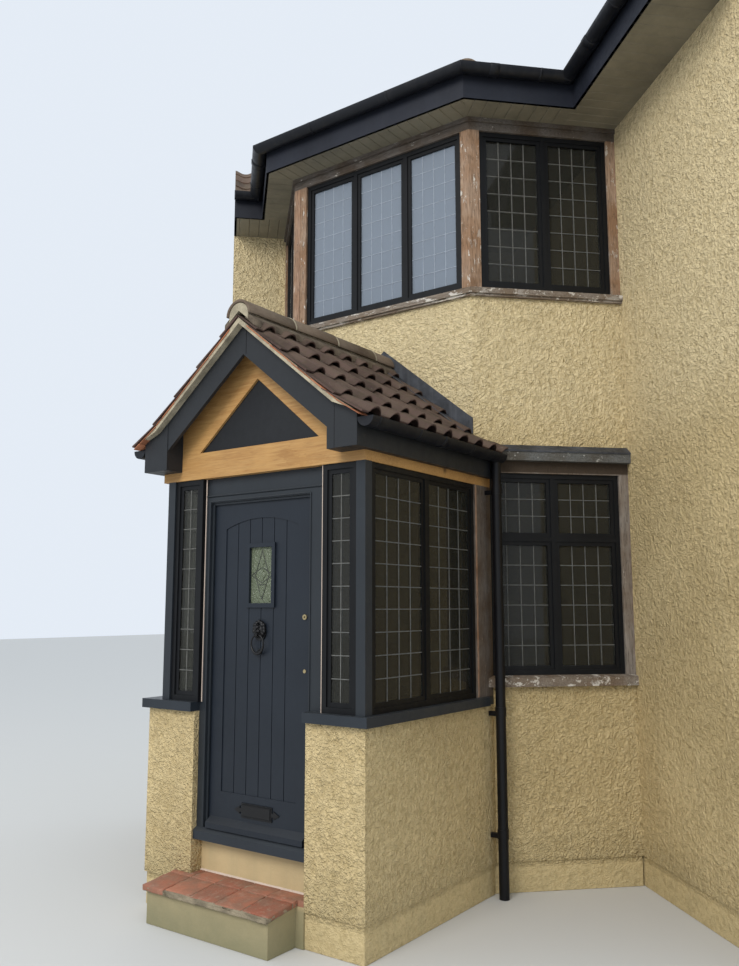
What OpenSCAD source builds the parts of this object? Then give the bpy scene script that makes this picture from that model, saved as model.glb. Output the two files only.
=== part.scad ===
/* [Bay plan] */
// Width of the splayed face of the bay
splay_w = 1700; // [1500:10:2000]
// Distance from the porch's centre line to the right end of the splayed face
splay_right = 810; // [760:10:860]
// Length of the right face of the bay, from the splay to the wing wall
facet_r = 1160; // [1000:10:1500]
// Length of the left face of the bay, from the splay to the house wall
facet_l = 1230; // [1000:10:1500]
// Thickness of the masonry walls
wall_t = 250; // [200:10:300]
// Length of the house wall kept at the left of the bay
stub_l = 520; // [480:10:900]
// Length of the wing wall kept at the right of the bay
stub_r = 1750; // [500:10:1900]
// Inset of the smooth plinth behind the roughcast
plinth_in = 12; // [5:1:30]
// Height of the smooth plinth
plinth_h = 200; // [100:10:300]

/* [Floors] */
// Height of the ground floor above the ground
floor_z = 530; // [510:5:560]
// Height of the upper floor above the ground
upper_floor_z = 3180; // [3100:10:3400]
// Thickness of the upper floor
upper_floor_t = 200; // [120:10:240]
// Thickness of the ceiling under the roof
ceiling_t = 40; // [20:5:80]
// Width of the inner doorway from the porch into the bay
inner_door_w = 860; // [760:10:960]
// Height of the inner doorway above the ground floor
inner_door_h = 2030; // [1950:10:2100]

/* [Bay windows] */
// Underside of the lower windows above the ground
lower_win_z = 1430; // [1200:10:1600]
// Height of the lower windows
lower_win_h = 1420; // [1300:10:1500]
// Height of the bottom lights of the lower windows, up to the transom's middle
transom_up = 950; // [700:10:1100]
// Underside of the upper windows above the ground
upper_win_z = 4225; // [4150:5:4400]
// Height of the upper windows
upper_win_h = 1230; // [1000:10:1400]
// Face width of the fixed window frames
frame_face = 34; // [25:1:50]
// Face width of the sashes in the frames
sash_face = 28; // [20:1:45]
// Depth of the window frames
frame_d = 70; // [55:1:90]
// Set-back of the window frames behind the wall face
frame_set = 12; // [0:1:40]
// Step of the sashes behind the frame face
sash_set = 9; // [4:1:20]
// Thickness of the glass units
glass_t = 20; // [12:1:28]

/* [Bay timber] */
// Face width of the timber post at the left end of the splay
post_splay_l = 125; // [80:5:160]
// Face width of the timber post at the right end of the splay
post_splay_r = 70; // [50:5:120]
// Face width of the corner posts on the side faces
post_side = 80; // [50:5:120]
// Face width of the timber jambs against the house walls
jamb_w = 72; // [50:1:100]
// Depth of the timber posts and jambs
timber_d = 120; // [100:5:160]
// How far the timber stands proud of the roughcast
timber_proud = 8; // [2:1:20]
// Height of the timber head over the upper windows
head_h = 95; // [60:5:140]
// How far the head's top moulding projects
head_mould = 26; // [12:1:50]
// Height of the head's top moulding
head_mould_h = 34; // [15:1:50]
// Thickness of the upper cill
upper_cill_t = 72; // [50:2:100]
// How far the cills project from the wall face
cill_out = 46; // [25:1:80]
// Size of the step in the upper cill's edge
cill_nose = 16; // [8:1:24]
// Width and depth of the drip groove under the lower cills
drip_w = 8; // [5:1:10]
// Fall of the lower cills' top
cill_fall = 14; // [8:1:20]
// Thickness of the lower cills
lower_cill_t = 75; // [50:1:100]
// Height of the timber head over the lower windows
lower_head_h = 85; // [60:5:110]
// Height of the drip board under the lead hood
hood_board_h = 62; // [30:2:90]
// How far the drip board projects
hood_out = 64; // [40:2:90]
// Height of the lead hood up the wall
hood_lead_h = 58; // [40:2:90]
// Distance of the hoods' ends from the corners, clear of the porch roof and the downpipe
hood_gap = 165; // [160:5:220]
// Thickness of the lead sheet
lead_t = 6; // [3:1:8]

/* [Bay eaves and roof] */
// Overhang of the bay's eaves from the wall to the fascia's face
bay_over = 260; // [180:10:360]
// Overhang of the house's eaves
house_over = 430; // [380:10:520]
// Thickness of the soffit boards
soffit_t = 16; // [10:1:25]
// Thickness of the fascia boards
fascia_t = 22; // [16:1:30]
// Height of the fascia boards
fascia_h = 215; // [150:5:240]
// Outer radius of the bay's gutter
gutter_r = 60; // [50:1:75]
// Drop of the bay gutter's rim below the top of the fascia
rim_drop = 4; // [4:1:20]
// Wall thickness of the gutters
gutter_t = 4; // [3:0.5:6]
// Pitch of the bay's roof
bay_pitch = 29; // [22:1:33]
// Pitch of the house's roof over the wall ends
house_pitch = 38.7; // [34:0.1:42]
// Thickness of the bay's roof covering, measured upright
roof_t = 90; // [70:5:120]
// How far the tiles run past the fascia
tile_over = 40; // [25:5:55]
// Outer radius of the hip tiles
hip_r = 115; // [90:5:140]
// Distance of the hip tiles' top ends from the roof's peak
hip_trim = 270; // [240:10:320]
// Wall thickness of the hip and ridge tiles
ridge_t = 22; // [14:1:30]

/* [Porch walls] */
// Width of the porch over its walls
porch_w = 1780; // [1700:10:1840]
// Depth of the porch from the splayed face
porch_d = 1420; // [1350:10:1600]
// Height of the dwarf walls
dwarf_h = 1240; // [1100:10:1300]
// Thickness of the dwarf walls
dwarf_t = 200; // [150:5:215]
// Width of the gap between the dwarf walls for the door
dwarf_gap = 924; // [904:2:960]
// Thickness of the porch cills
porch_cill_t = 58; // [40:2:80]
// How far the porch cills project
porch_cill_out = 36; // [20:2:60]
// How far the glazed framing stands right of the dwarf walls' middle line
frame_shift = 60; // [0:5:70]
// Width of the square corner posts
post_w = 66; // [50:1:100]
// Depth of the weathered posts against the wall
wall_post_d = 140; // [100:5:220]
// Depth of the porch's window frames
porch_frame_d = 52; // [48:1:70]
// Clearance beside the window frames, filled with sealant
seal_gap = 6; // [3:1:10]
// Height of the oak beams
beam_h = 175; // [140:5:200]
// Thickness of the oak beams
beam_t = 120; // [100:5:150]
// Thickness of the porch ceiling boards
porch_ceiling_t = 16; // [10:1:30]

/* [Door] */
// How far the door stands right of the dwarf walls' middle line
door_x = 25; // [10:1:30]
// Width of the door leaf
door_w = 835; // [815:5:850]
// Height of the door leaf
door_h = 2039; // [1970:1:2060]
// Thickness of the door leaf
door_t = 44; // [40:1:54]
// Gap round the door leaf
door_gap = 5; // [5:0.5:6]
// Width of the door frame's legs above the cills
jamb_face = 80; // [72:1:95]
// Depth of the door frame's outer part, in front of the leaf
jamb_front = 32; // [24:1:60]
// Depth of the door stop, in front of the leaf
stop_front = 16; // [12:1:22]
// Overlap of the door stop on the leaf
stop_w = 10; // [8:1:14]
// Height of the door frame's head
frame_head = 34; // [25:1:60]
// Set-back of the door leaf behind the porch's front
door_set = 74; // [60:1:90]
// Set-back of the panel over the door behind the frame
over_set = 10; // [0:1:20]
// Thickness of the panel over the door
over_panel_t = 30; // [20:1:45]
// Height of the panel over the door
over_panel_h = 127; // [100:1:160]
// Width of the smooth border round the boarded field
field_side = 108; // [90:1:130]
// Height of the bottom border of the boarded field
field_bottom = 222; // [180:2:260]
// Height of the top border of the boarded field, at its sides
field_top = 172; // [140:2:200]
// Rise of the field's arched top
field_rise = 60; // [30:1:80]
// Depth of the boarded field
field_depth = 6; // [3:0.5:9]
// Number of boards in the field
boards = 6; // [5:1:10]
// Width of the grooves between the boards
groove_w = 5; // [3:0.5:8]
// Width of the small light in the door
light_w = 186; // [160:2:240]
// Height of the small light in the door
light_h = 350; // [320:2:420]
// Top of the small light below the leaf's top
light_down = 300; // [270:2:340]
// Width of the moulding round the small light
bead_w = 27; // [15:1:35]
// How far the moulding stands out from the leaf
bead_out = 9; // [4:1:12]
// Height of the weather bar across the leaf's foot
bar_h = 66; // [50:2:80]
// How far the weather bar stands out from the leaf
bar_out = 46; // [30:1:50]
// Distance of the weather bar's ends from the leaf's edges
bar_in = 22; // [20:1:40]
// Distance of the hinge pin from the leaf's inner face
pin_in = 7.3; // [7.2:0.1:10]
// Radius of the hinge barrels
pin_r = 7; // [5:0.5:7]
// Length of each hinge barrel
hinge_l = 100; // [75:5:125]
// Width of each hinge's flap on the leaf
hinge_w = 42; // [30:1:50]
// Number of hinges
hinges = 3; // [2:1:4]
// Opening angle drawn for the leaf
door_open = 0; // [0:5:90]

/* [Door furniture] */
// Width of the letter plate between its pointed ends
letter_w = 250; // [240:5:300]
// Height of the letter plate
letter_h = 86; // [60:2:90]
// Length of the letter plate's pointed ends
point_l = 59; // [40:1:70]
// Height of the letter plate's pointed ends
point_h = 48; // [30:2:60]
// Middle of the letter plate above the leaf's bottom
letter_up = 133; // [120:1:330]
// Thickness of the letter plate
letter_t = 7; // [4:1:10]
// Thickness of the letter plate's flap
flap_t = 4; // [2:0.5:6]
// Width of the letter plate's rim round its flap
flap_in = 12; // [8:1:16]
// Knocker axis below the small light
knocker_down = 194; // [180:2:230]
// Radius of the knocker's back plate
knocker_r = 50; // [36:1:54]
// Radius of the knocker's ring, to the middle of its bar
ring_r = 52; // [38:1:56]
// Radius of the knocker ring's bar
ring_bar = 6; // [4.5:0.5:7]
// Distance of the ring's pivot from the leaf
ring_out = 30; // [26:1:36]
// Distance of the locks from the leaf's right edge
lock_in = 52; // [35:1:60]
// Night latch above the leaf's bottom
latch_up = 1305; // [1200:1:1350]
// Keyhole plate above the leaf's bottom
keyhole_up = 986; // [880:1:1050]
// Radius of the night latch's ring
latch_r = 16; // [12:1:20]
// Radius of the keyhole plate
keyhole_r = 11; // [8:1:14]

/* [Porch roof] */
// How far the roof's middle line stands right of the dwarf walls' one
roof_x = 35; // [0:5:45]
// Height of the gable rafters' ends over the oak beams
plate_h = 40; // [20:1:60]
// Pitch of the porch roof
porch_pitch = 39; // [35:0.5:42]
// Thickness of the boarding and battens, measured upright
deck_t = 58; // [40:2:80]
// Thickness of the tiles, measured upright
tile_t = 44; // [36:1:70]
// Half width of the tiled roof
roof_half = 962; // [945:1:985]
// Lift of the tiles' lowest edge at the eaves
eaves_lift = 34; // [10:2:40]
// Width of the lifted strip at the eaves
eaves_strip = 210; // [150:10:260]
// Overhang of the bargeboards from the porch's front
barge_over = 135; // [100:5:180]
// Thickness of the bargeboards
barge_t = 25; // [18:1:35]
// Height of the bargeboards, measured upright
barge_h = 190; // [150:2:220]
// Height of the bargeboards' top edges over the boarding's underside, measured upright
barge_up = 21; // [0:1:40]
// How far the tiles run past the bargeboards
verge_over = 57; // [25:1:60]
// Set-back of the verge mortar behind the tiles' ends
verge_set = 8; // [4:1:20]
// Underside of the boxed feet above the underside of the oak beams
foot_up = 60; // [30:5:90]
// Width of the boxed feet
foot_w = 222; // [180:2:280]
// Thickness of the porch's eaves boards
eaves_t = 24; // [18:1:30]
// Gap between the oak beams and the eaves boards
eaves_gap = 20; // [10:1:30]
// Half width of the dark gable panel
gable_half = 510; // [460:5:560]
// Height of the dark gable panel
gable_h = 435; // [390:5:470]
// Depth of the gable's oak rafters
gable_d = 90; // [60:5:120]
// Set-back of the gable panel behind the oak
gable_set = 18; // [10:1:40]
// Thickness of the gable panel
gable_panel_t = 20; // [12:1:30]
// Outer radius of the ridge tiles
ridge_r = 102; // [90:2:130]
// Height of the ridge tiles' middle line over the tile planes' meeting line
ridge_up = -30; // [-40:1:30]
// Height of the lead flashing above the tiles
flash_h = 120; // [80:5:160]
// Width of the lead laid over the tiles beside the wall
flash_w = 140; // [100:5:180]
// How far the roof's right edge runs past the splayed face
roof_back = 60; // [20:5:70]
// Outer radius of the porch gutters
porch_gutter_r = 56; // [45:1:58]
// Radius of the downpipe
pipe_r = 34; // [30:1:38]
// Distance of the downpipe from the bay's corner, along the right face
pipe_along = 129; // [127:1:137]
// Distance of the downpipe's middle from the right face
pipe_off = 105; // [103:1:111]
// Gap between the gutters and what they hang on, and between their lengths
clip_gap = 0.3; // [0.1:0.1:0.9]
// Gap between the porch gutters' rims and the tiles over them
gutter_drop = 2; // [1:1:20]

/* [Entrance step] */
// Left end of the step from the porch's centre line
step_left = 585; // [500:10:650]
// Right end of the step from the porch's centre line
step_right = 403; // [300:10:450]
// How far the step stands out from the porch
step_out = 232; // [180:2:300]
// Height of the step's top, at the porch
step_z = 258; // [200:1:280]
// Fall of the step's top to its front edge
step_fall = 30; // [0:1:35]
// Thickness of the step's clay tiles
step_tile_t = 35; // [20:1:45]
// Overhang of the step's clay tiles
step_nose = 29; // [10:1:40]
// Set-back of the smooth riser under the threshold
riser_set = 93; // [80:1:100]
// Height of the threshold
threshold_h = 70; // [60:1:90]
// Projection of the threshold in front of the door frame
threshold_out = 30; // [10:1:36]
// Fall of the threshold's front edge
threshold_fall = 18; // [8:1:24]

/* [Hidden] */
$fn = 64;

roughcast = "#e3cf97";
smooth_render = "#e6d7a8";
old_timber = "#8b6f58";
black_frame = "#1b1e25";
grey_paint = "#3f4450";
oak = "#c8975a";
lead = "#6d7178";
tile_brown = "#5b4237";
big = 9000;

// Points on the plan: the bay's faces meet at 45 degrees
c = sqrt(0.5);
half_turn = tan(22.5);
// Clearance between pieces that meet on a slanting line, and round the window frames
join_gap = 0.1;
end_r = facet_r - join_gap;
end_l = facet_l - join_gap;
corner_l = [splay_right - splay_w, 0];
corner_r = [splay_right, 0];
function right_pt(u, v) = corner_r + u * [c, c] + v * [c, -c];
function left_pt(u, v) = corner_l + u * [-c, c] + v * [-c, -c];
wing_corner = right_pt(facet_r, 0);
house_corner = left_pt(facet_l, 0);
function wing_pt(u, v) = wing_corner + u * [c, -c] + v * [-c, -c];
function house_pt(u, v) = house_corner + u * [-c, -c] + v * [c, -c];
room_run = (wing_corner.x + wing_corner.y - house_corner.x - house_corner.y) * c;
function back_corner(v) = house_corner + room_run * [c, c] + [0, v / c];
function reversed(list) = [for (i = [len(list) - 1 : -1 : 0]) list[i]];
function bay_corners(v) = [corner_l + v * [-half_turn, -1], corner_r + v * [half_turn, -1]];
function bay_line(v) = concat([left_pt(end_l, v)], bay_corners(v), [right_pt(end_r, v)]);
function bay_ring(v_out, v_in) = concat(bay_line(v_out), reversed(bay_line(v_in)));
function room_plan(v) = concat(bay_line(v), [back_corner(-join_gap)]);
function eaves_line(v, vh) = concat([house_pt(stub_l, vh), left_pt(facet_l - vh, v)],
    bay_corners(v), [right_pt(facet_r - vh, v), wing_pt(stub_r, vh)]);

// Levels worked out from the driving sizes
lower_top = lower_win_z + lower_win_h;
apron_z = lower_top + lower_head_h;
upper_cill_z = upper_win_z - upper_cill_t;
head_z = upper_win_z + upper_win_h;
soffit_z = head_z + head_h;
fascia_top = soffit_z + fascia_h;
inner_top = floor_z + inner_door_h;
door_z = floor_z + door_gap;
frame_top = door_z + door_h + door_gap + frame_head;
beam_z = frame_top + over_panel_h;
beam_top = beam_z + beam_h;
foot_z = beam_z + foot_up;
porch_half = porch_w / 2;
frame_half = porch_half - frame_shift;
frame_l = frame_shift - frame_half;
gap_half = dwarf_gap / 2;
win_z = dwarf_h + porch_cill_t;
porch_win_h = beam_z - win_z;
leaf_y = -porch_d + door_set;
leaf_in = leaf_y + door_t;
leg_in = door_w / 2 + door_gap;
leg_out = leg_in + jamb_face;
frame_front = leaf_y - jamb_front;
pin = [-door_w / 2 - door_gap / 2, leaf_in + pin_in];
slope = tan(porch_pitch);
beam_half = porch_half - roof_x;
board_in = beam_half + eaves_gap;
eaves_x = board_in + eaves_t;
deck_apex_z = beam_top + plate_h + slope * beam_half;
tile_apex_z = deck_apex_z + deck_t;
flare_x = roof_half - eaves_strip;
function deck_under(x) = deck_apex_z - slope * x;
function tile_under(x) = tile_apex_z - slope * x + eaves_lift * max(0, x - flare_x) / eaves_strip;
function barge_top(x) = deck_under(x) + barge_up;
barge_y = -porch_d - barge_over;
tile_front = barge_y - verge_over;
field_y = leaf_y + field_depth;
threshold_z = door_z - door_gap - threshold_h;
gutter_z = tile_under(roof_half) - gutter_drop;
pipe = right_pt(pipe_along, pipe_off);
pipe_gap = 12;
collar_h = 60;
pipe_clips = [plinth_h + 180, dwarf_h - 70, beam_z - collar_h];

module extrude(z0, z1) translate([0, 0, z0]) linear_extrude(z1 - z0) children();
module on_splay() translate([corner_l.x, 0, 0]) children();
module on_right() translate([corner_r.x, 0, 0]) rotate([0, 0, 45]) children();
module on_left() translate([corner_l.x, 0, 0]) mirror([1, 0, 0]) rotate([0, 0, 45]) children();
module on_wing() translate([wing_corner.x, wing_corner.y, 0]) rotate([0, 0, -45]) children();
module on_house() translate([house_corner.x, house_corner.y, 0])
    mirror([1, 0, 0]) rotate([0, 0, -45]) children();
module box(x0, x1, y0, y1, z0, z1) translate([x0, y0, z0]) cube([x1 - x0, y1 - y0, z1 - z0]);
module both_sides() {
    children();
    mirror([1, 0, 0]) children();
}
// The porch's glazed framing, whose middle line stands right of the dwarf walls' one
module framed() translate([frame_shift, 0, 0]) both_sides() children();
// The porch roof, drawn round its own middle line
module roofed() translate([roof_x, 0, 0]) children();
// A flat outline in x and z, given its thickness from y0 to y1
module upright(y0, y1) translate([0, y1, 0]) rotate([90, 0, 0]) linear_extrude(y1 - y0) children();
// A flat outline in y and z, drawn out along x
module along_x(x0, x1) translate([x0, 0, 0]) rotate([90, 0, 90]) linear_extrude(x1 - x0) children();

// Masonry of the bay
module rendered_wall(z_top) {
    extrude(plinth_h, z_top) children(0);
    extrude(0, plinth_h) children(1);
}
module right_wall_plan(inset) polygon([bay_corners(-inset)[1], right_pt(end_r, -inset),
    right_pt(end_r, -wall_t), bay_corners(-wall_t)[1]]);
module left_wall_plan(inset) polygon([bay_corners(-inset)[0], left_pt(end_l, -inset),
    left_pt(end_l, -wall_t), bay_corners(-wall_t)[0]]);
module front_wall_lower() color(roughcast) rendered_wall(lower_win_z - lower_cill_t) {
    right_wall_plan(0);
    right_wall_plan(plinth_in);
}
module side_wall_lower() color(roughcast) rendered_wall(lower_win_z - lower_cill_t) {
    left_wall_plan(0);
    left_wall_plan(plinth_in);
}
module splay_piers() color(roughcast) extrude(0, inner_top) {
    gap = [join_gap, 0];
    polygon([[inner_door_w / 2, 0], bay_corners(0)[1] - gap, bay_corners(-wall_t)[1] - gap,
        [inner_door_w / 2, wall_t]]);
    polygon([[-inner_door_w / 2, 0], bay_corners(0)[0] + gap, bay_corners(-wall_t)[0] + gap,
        [-inner_door_w / 2, wall_t]]);
}
module apron_wall() color(roughcast) {
    extrude(apron_z, upper_cill_z) polygon(bay_ring(0, -wall_t));
    gap = [join_gap, 0];
    extrude(inner_top, apron_z) polygon([bay_corners(0)[0] + gap, bay_corners(0)[1] - gap,
        bay_corners(-wall_t)[1] - gap, bay_corners(-wall_t)[0] + gap]);
}
module house_plan(inset) polygon([house_pt(stub_l, -inset), back_corner(inset), back_corner(wall_t),
    house_pt(stub_l, -wall_t)]);
module wing_plan(inset) polygon([wing_pt(stub_r, -inset), back_corner(inset), back_corner(wall_t),
    wing_pt(stub_r, -wall_t)]);
module house_wall() color(roughcast) intersection() {
    rendered_wall(fascia_top + big / 3) {
        house_plan(0);
        house_plan(plinth_in);
    }
    roof_mass(-roof_t, trim);
}
module wing_wall() color(roughcast) intersection() {
    rendered_wall(fascia_top + big / 3) {
        wing_plan(0);
        wing_plan(plinth_in);
    }
    roof_mass(-roof_t, trim);
}

// Floors: the solid ground floor runs through the inner doorway into the porch
module ground_floor() color("#8f8578") {
    extrude(0, floor_z) polygon(room_plan(-wall_t));
    box(-inner_door_w / 2, inner_door_w / 2, 0, wall_t, 0, floor_z);
    box(dwarf_t - porch_half, porch_half - dwarf_t, dwarf_t - porch_d, 0, 0, floor_z);
    box(-gap_half, gap_half, leaf_in, dwarf_t - porch_d, 0, floor_z);
}
module upper_floor() color("#a58b6a") extrude(upper_floor_z - upper_floor_t, upper_floor_z)
    polygon(room_plan(-wall_t));
module bay_ceiling() color("#e9e4d8") extrude(soffit_z, soffit_z + ceiling_t) polygon(room_plan(0));

// Timber round the bay's windows
module window_posts() color(old_timber) extrude(upper_win_z, head_z) {
    post_in = timber_d - timber_proud;
    polygon([bay_corners(timber_proud)[0], corner_l + [post_splay_l, -timber_proud],
        corner_l + [post_splay_l, post_in], bay_corners(-post_in)[0],
        left_pt(post_side, -post_in), left_pt(post_side, timber_proud)]);
    polygon([bay_corners(timber_proud)[1], corner_r + [-post_splay_r, -timber_proud],
        corner_r + [-post_splay_r, post_in], bay_corners(-post_in)[1],
        right_pt(post_side, -post_in), right_pt(post_side, timber_proud)]);
    polygon([right_pt(end_r - jamb_w, timber_proud), right_pt(end_r, timber_proud),
        right_pt(end_r, -post_in), right_pt(end_r - jamb_w, -post_in)]);
    polygon([left_pt(end_l - jamb_w, timber_proud), left_pt(end_l, timber_proud),
        left_pt(end_l, -post_in), left_pt(end_l - jamb_w, -post_in)]);
}
module window_head() color(old_timber) {
    extrude(head_z, soffit_z) polygon(bay_ring(timber_proud, timber_proud - timber_d));
    extrude(soffit_z - head_mould_h, soffit_z) polygon(bay_ring(head_mould, 0));
}
module cill_profile(t, out, depth) polygon([[-out, 0], [drip_w - out, 0], [drip_w - out, drip_w],
    [2 * drip_w - out, drip_w], [2 * drip_w - out, 0], [depth, 0], [depth, t], [0, t],
    [-out, t - cill_fall]]);
// Cuts what runs past the corner of a wall, drawn in the plane of that wall
module mitred() intersection() {
    children();
    extrude(-big, big) polygon([[-half_turn * big, -big], [half_turn * big, big], [big, big], [big, -big]]);
}
module lower_cill(len) mitred() translate([0, 0, lower_win_z - lower_cill_t])
    along_x(-cill_out, len) cill_profile(lower_cill_t, cill_out, timber_d);
module bay_cills() color(old_timber) {
    extrude(upper_cill_z, upper_win_z - cill_nose) polygon(bay_ring(cill_out - cill_nose, -timber_d));
    extrude(upper_cill_z + cill_nose, upper_win_z - cill_nose) polygon(bay_ring(cill_out, -timber_d));
    extrude(upper_win_z - cill_nose, upper_win_z) polygon(bay_ring(timber_proud, -timber_d));
    clear_of_porch() {
        on_right() lower_cill(end_r);
        on_left() lower_cill(end_l);
    }
}
// Timber round one lower window, drawn in the plane of its wall. It stands proud of the wall only
// where the porch leaves room.
function timber_plan(depth, from, to) = concat([[join_gap, 0], [half_turn * depth + join_gap, depth],
    [to, depth]],
    from < to ? [[to, -timber_proud], [from, -timber_proud], [from, 0]] : [[to, 0]]);
module surround(len, post_from) {
    depth = timber_d - timber_proud;
    extrude(lower_win_z, lower_top) polygon(timber_plan(depth, post_from, post_side));
    box(len - jamb_w, len, -timber_proud, depth, lower_win_z, lower_top);
    extrude(lower_top, apron_z - join_gap) polygon(timber_plan(depth, hood_gap, len));
}
module lower_surrounds() color(old_timber) {
    on_right() surround(end_r, post_side);
    on_left() surround(end_l, post_side / 2);
}
module hood_board(start, len) box(start, len, -hood_out, 0, apron_z, apron_z + hood_board_h);
module hood_boards() color("#8c8478") {
    on_right() hood_board(hood_gap, end_r);
    on_left() hood_board(hood_gap, end_l);
}
module lead_hood(start, len) translate([0, 0, apron_z + hood_board_h]) along_x(start, len)
    polygon([[0, 0], [-hood_out - lead_t, 0], [-hood_out - lead_t, 2 * lead_t], [-lead_t, hood_lead_h],
        [0, hood_lead_h]]);
module lead_hoods() color(lead) {
    on_right() lead_hood(hood_gap, end_r);
    on_left() lead_hood(hood_gap, end_l);
}

// Windows: a fixed frame with sashes set behind its face. x runs along the wall and y into it.
function light_w_of(w, n) = (w - (n + 1) * frame_face) / n;
function light_x(w, n, i) = frame_face + i * (light_w_of(w, n) + frame_face);
module each_light(w, n) for (i = [0 : n - 1]) translate([light_x(w, n, i), 0, 0]) children();
function light_rows(h, split) = split == 0 ? [[frame_face, h - frame_face]]
    : [[frame_face, split - frame_face / 2], [split + frame_face / 2, h - frame_face]];
module window_frame(w, h, n, split = 0, d = frame_d) {
    rows = light_rows(h, split);
    lw = light_w_of(w, n);
    difference() {
        box(join_gap, w - join_gap, 0, d, join_gap, h - join_gap);
        each_light(w, n) for (r = rows) box(0, lw, -1, d + 1, r[0], r[1]);
    }
    each_light(w, n) for (r = rows) difference() {
        box(0, lw, sash_set, d - sash_set, r[0], r[1]);
        box(sash_face, lw - sash_face, 0, d, r[0] + sash_face, r[1] - sash_face);
    }
}
module window_glass(w, h, n, split = 0, d = frame_d) {
    rows = light_rows(h, split);
    lw = light_w_of(w, n);
    y0 = (d - glass_t) / 2;
    each_light(w, n) for (r = rows) box(sash_face, lw - sash_face, y0, y0 + glass_t,
        r[0] + sash_face, r[1] - sash_face);
}
splay_win_w = splay_w - post_splay_l - post_splay_r;
right_win_w = end_r - post_side - jamb_w;
left_win_w = end_l - post_side - jamb_w;
module in_splay() on_splay() translate([post_splay_l, frame_set, upper_win_z]) children();
module in_right(z) on_right() translate([post_side, frame_set, z]) children();
module in_left(z) on_left() translate([post_side, frame_set, z]) children();
module upper_window_frames() color(black_frame) {
    in_splay() window_frame(splay_win_w, upper_win_h, 3);
    in_right(upper_win_z) window_frame(right_win_w, upper_win_h, 2);
    in_left(upper_win_z) window_frame(left_win_w, upper_win_h, 2);
}
module lower_window_frames() color(black_frame) {
    in_right(lower_win_z) window_frame(right_win_w, lower_win_h, 2, transom_up);
    in_left(lower_win_z) window_frame(left_win_w, lower_win_h, 2, transom_up);
}
module upper_glass() color("#9fb0b5", 0.4) {
    in_splay() window_glass(splay_win_w, upper_win_h, 3);
    in_right(upper_win_z) window_glass(right_win_w, upper_win_h, 2);
    in_left(upper_win_z) window_glass(left_win_w, upper_win_h, 2);
}
module lower_glass() color("#9fb0b5", 0.4) {
    in_right(lower_win_z) window_glass(right_win_w, lower_win_h, 2, transom_up);
    in_left(lower_win_z) window_glass(left_win_w, lower_win_h, 2, transom_up);
}

// Eaves of the bay, with short returns along the house and wing walls
function eaves_area(v, vh, cut) = concat([house_pt(stub_l - cut, 0), house_pt(stub_l - cut, vh)],
    [left_pt(facet_l - vh, v)], bay_corners(v), [right_pt(facet_r - vh, v)],
    [wing_pt(stub_r - cut, vh), wing_pt(stub_r - cut, 0)], reversed(bay_line(0)));
module soffit() color("#d9d6c9") extrude(soffit_z, soffit_z + soffit_t)
    polygon(eaves_area(bay_over - fascia_t, house_over - fascia_t, fascia_t));
module fascia() color("#1d1f26") extrude(soffit_z, fascia_top) difference() {
    polygon(eaves_area(bay_over, house_over, 0));
    polygon(eaves_area(bay_over - fascia_t, house_over - fascia_t, fascia_t));
}
function mirrored(list) = [for (p = list) [-p.x, p.y]];
// An outline between two lines that start at x = 0 and are mirrored to the left
function arch_band(low, up) = concat(reversed(mirrored(low)), [for (i = [1 : len(low) - 1]) low[i]],
    reversed(up), [for (i = [1 : len(up) - 1]) [-up[i].x, up[i].y]]);
module half_ring(r, t) difference() {
    circle(r);
    circle(r - t);
    translate([-2 * r, 0]) square(4 * r);
}
module half_disc(r) difference() {
    circle(r);
    translate([-2 * r, 0]) square(4 * r);
}
module gutter_bar(over, r) translate([0, -over - clip_gap - r, fascia_top - rim_drop])
    along_x(-big / 2, big / 2) half_ring(r, gutter_t);
module gutter_piece(i) {
    near = eaves_line(bay_over, house_over);
    far = eaves_line(bay_over + 3 * gutter_r, house_over + 3 * gutter_r);
    run = near[i + 1] - near[i];
    gap = run * (clip_gap / norm(run));
    intersection() {
        extrude(soffit_z, fascia_top + big / 10) polygon([near[i] + gap, near[i + 1] - gap,
            far[i + 1] - gap, far[i] + gap]);
        children();
    }
}
module gutter_end(x, over) translate([0, -over - clip_gap - gutter_r, fascia_top - rim_drop])
    along_x(x + clip_gap, x + clip_gap + gutter_t) half_disc(gutter_r);
module bay_gutter() color("#1a1c22") {
    gutter_piece(0) on_house() gutter_bar(house_over, gutter_r);
    gutter_piece(1) on_left() gutter_bar(bay_over, gutter_r);
    gutter_piece(2) on_splay() gutter_bar(bay_over, gutter_r);
    gutter_piece(3) on_right() gutter_bar(bay_over, gutter_r);
    gutter_piece(4) on_wing() gutter_bar(house_over, gutter_r);
    on_house() gutter_end(stub_l, house_over);
    on_wing() gutter_end(stub_r, house_over);
}

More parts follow.
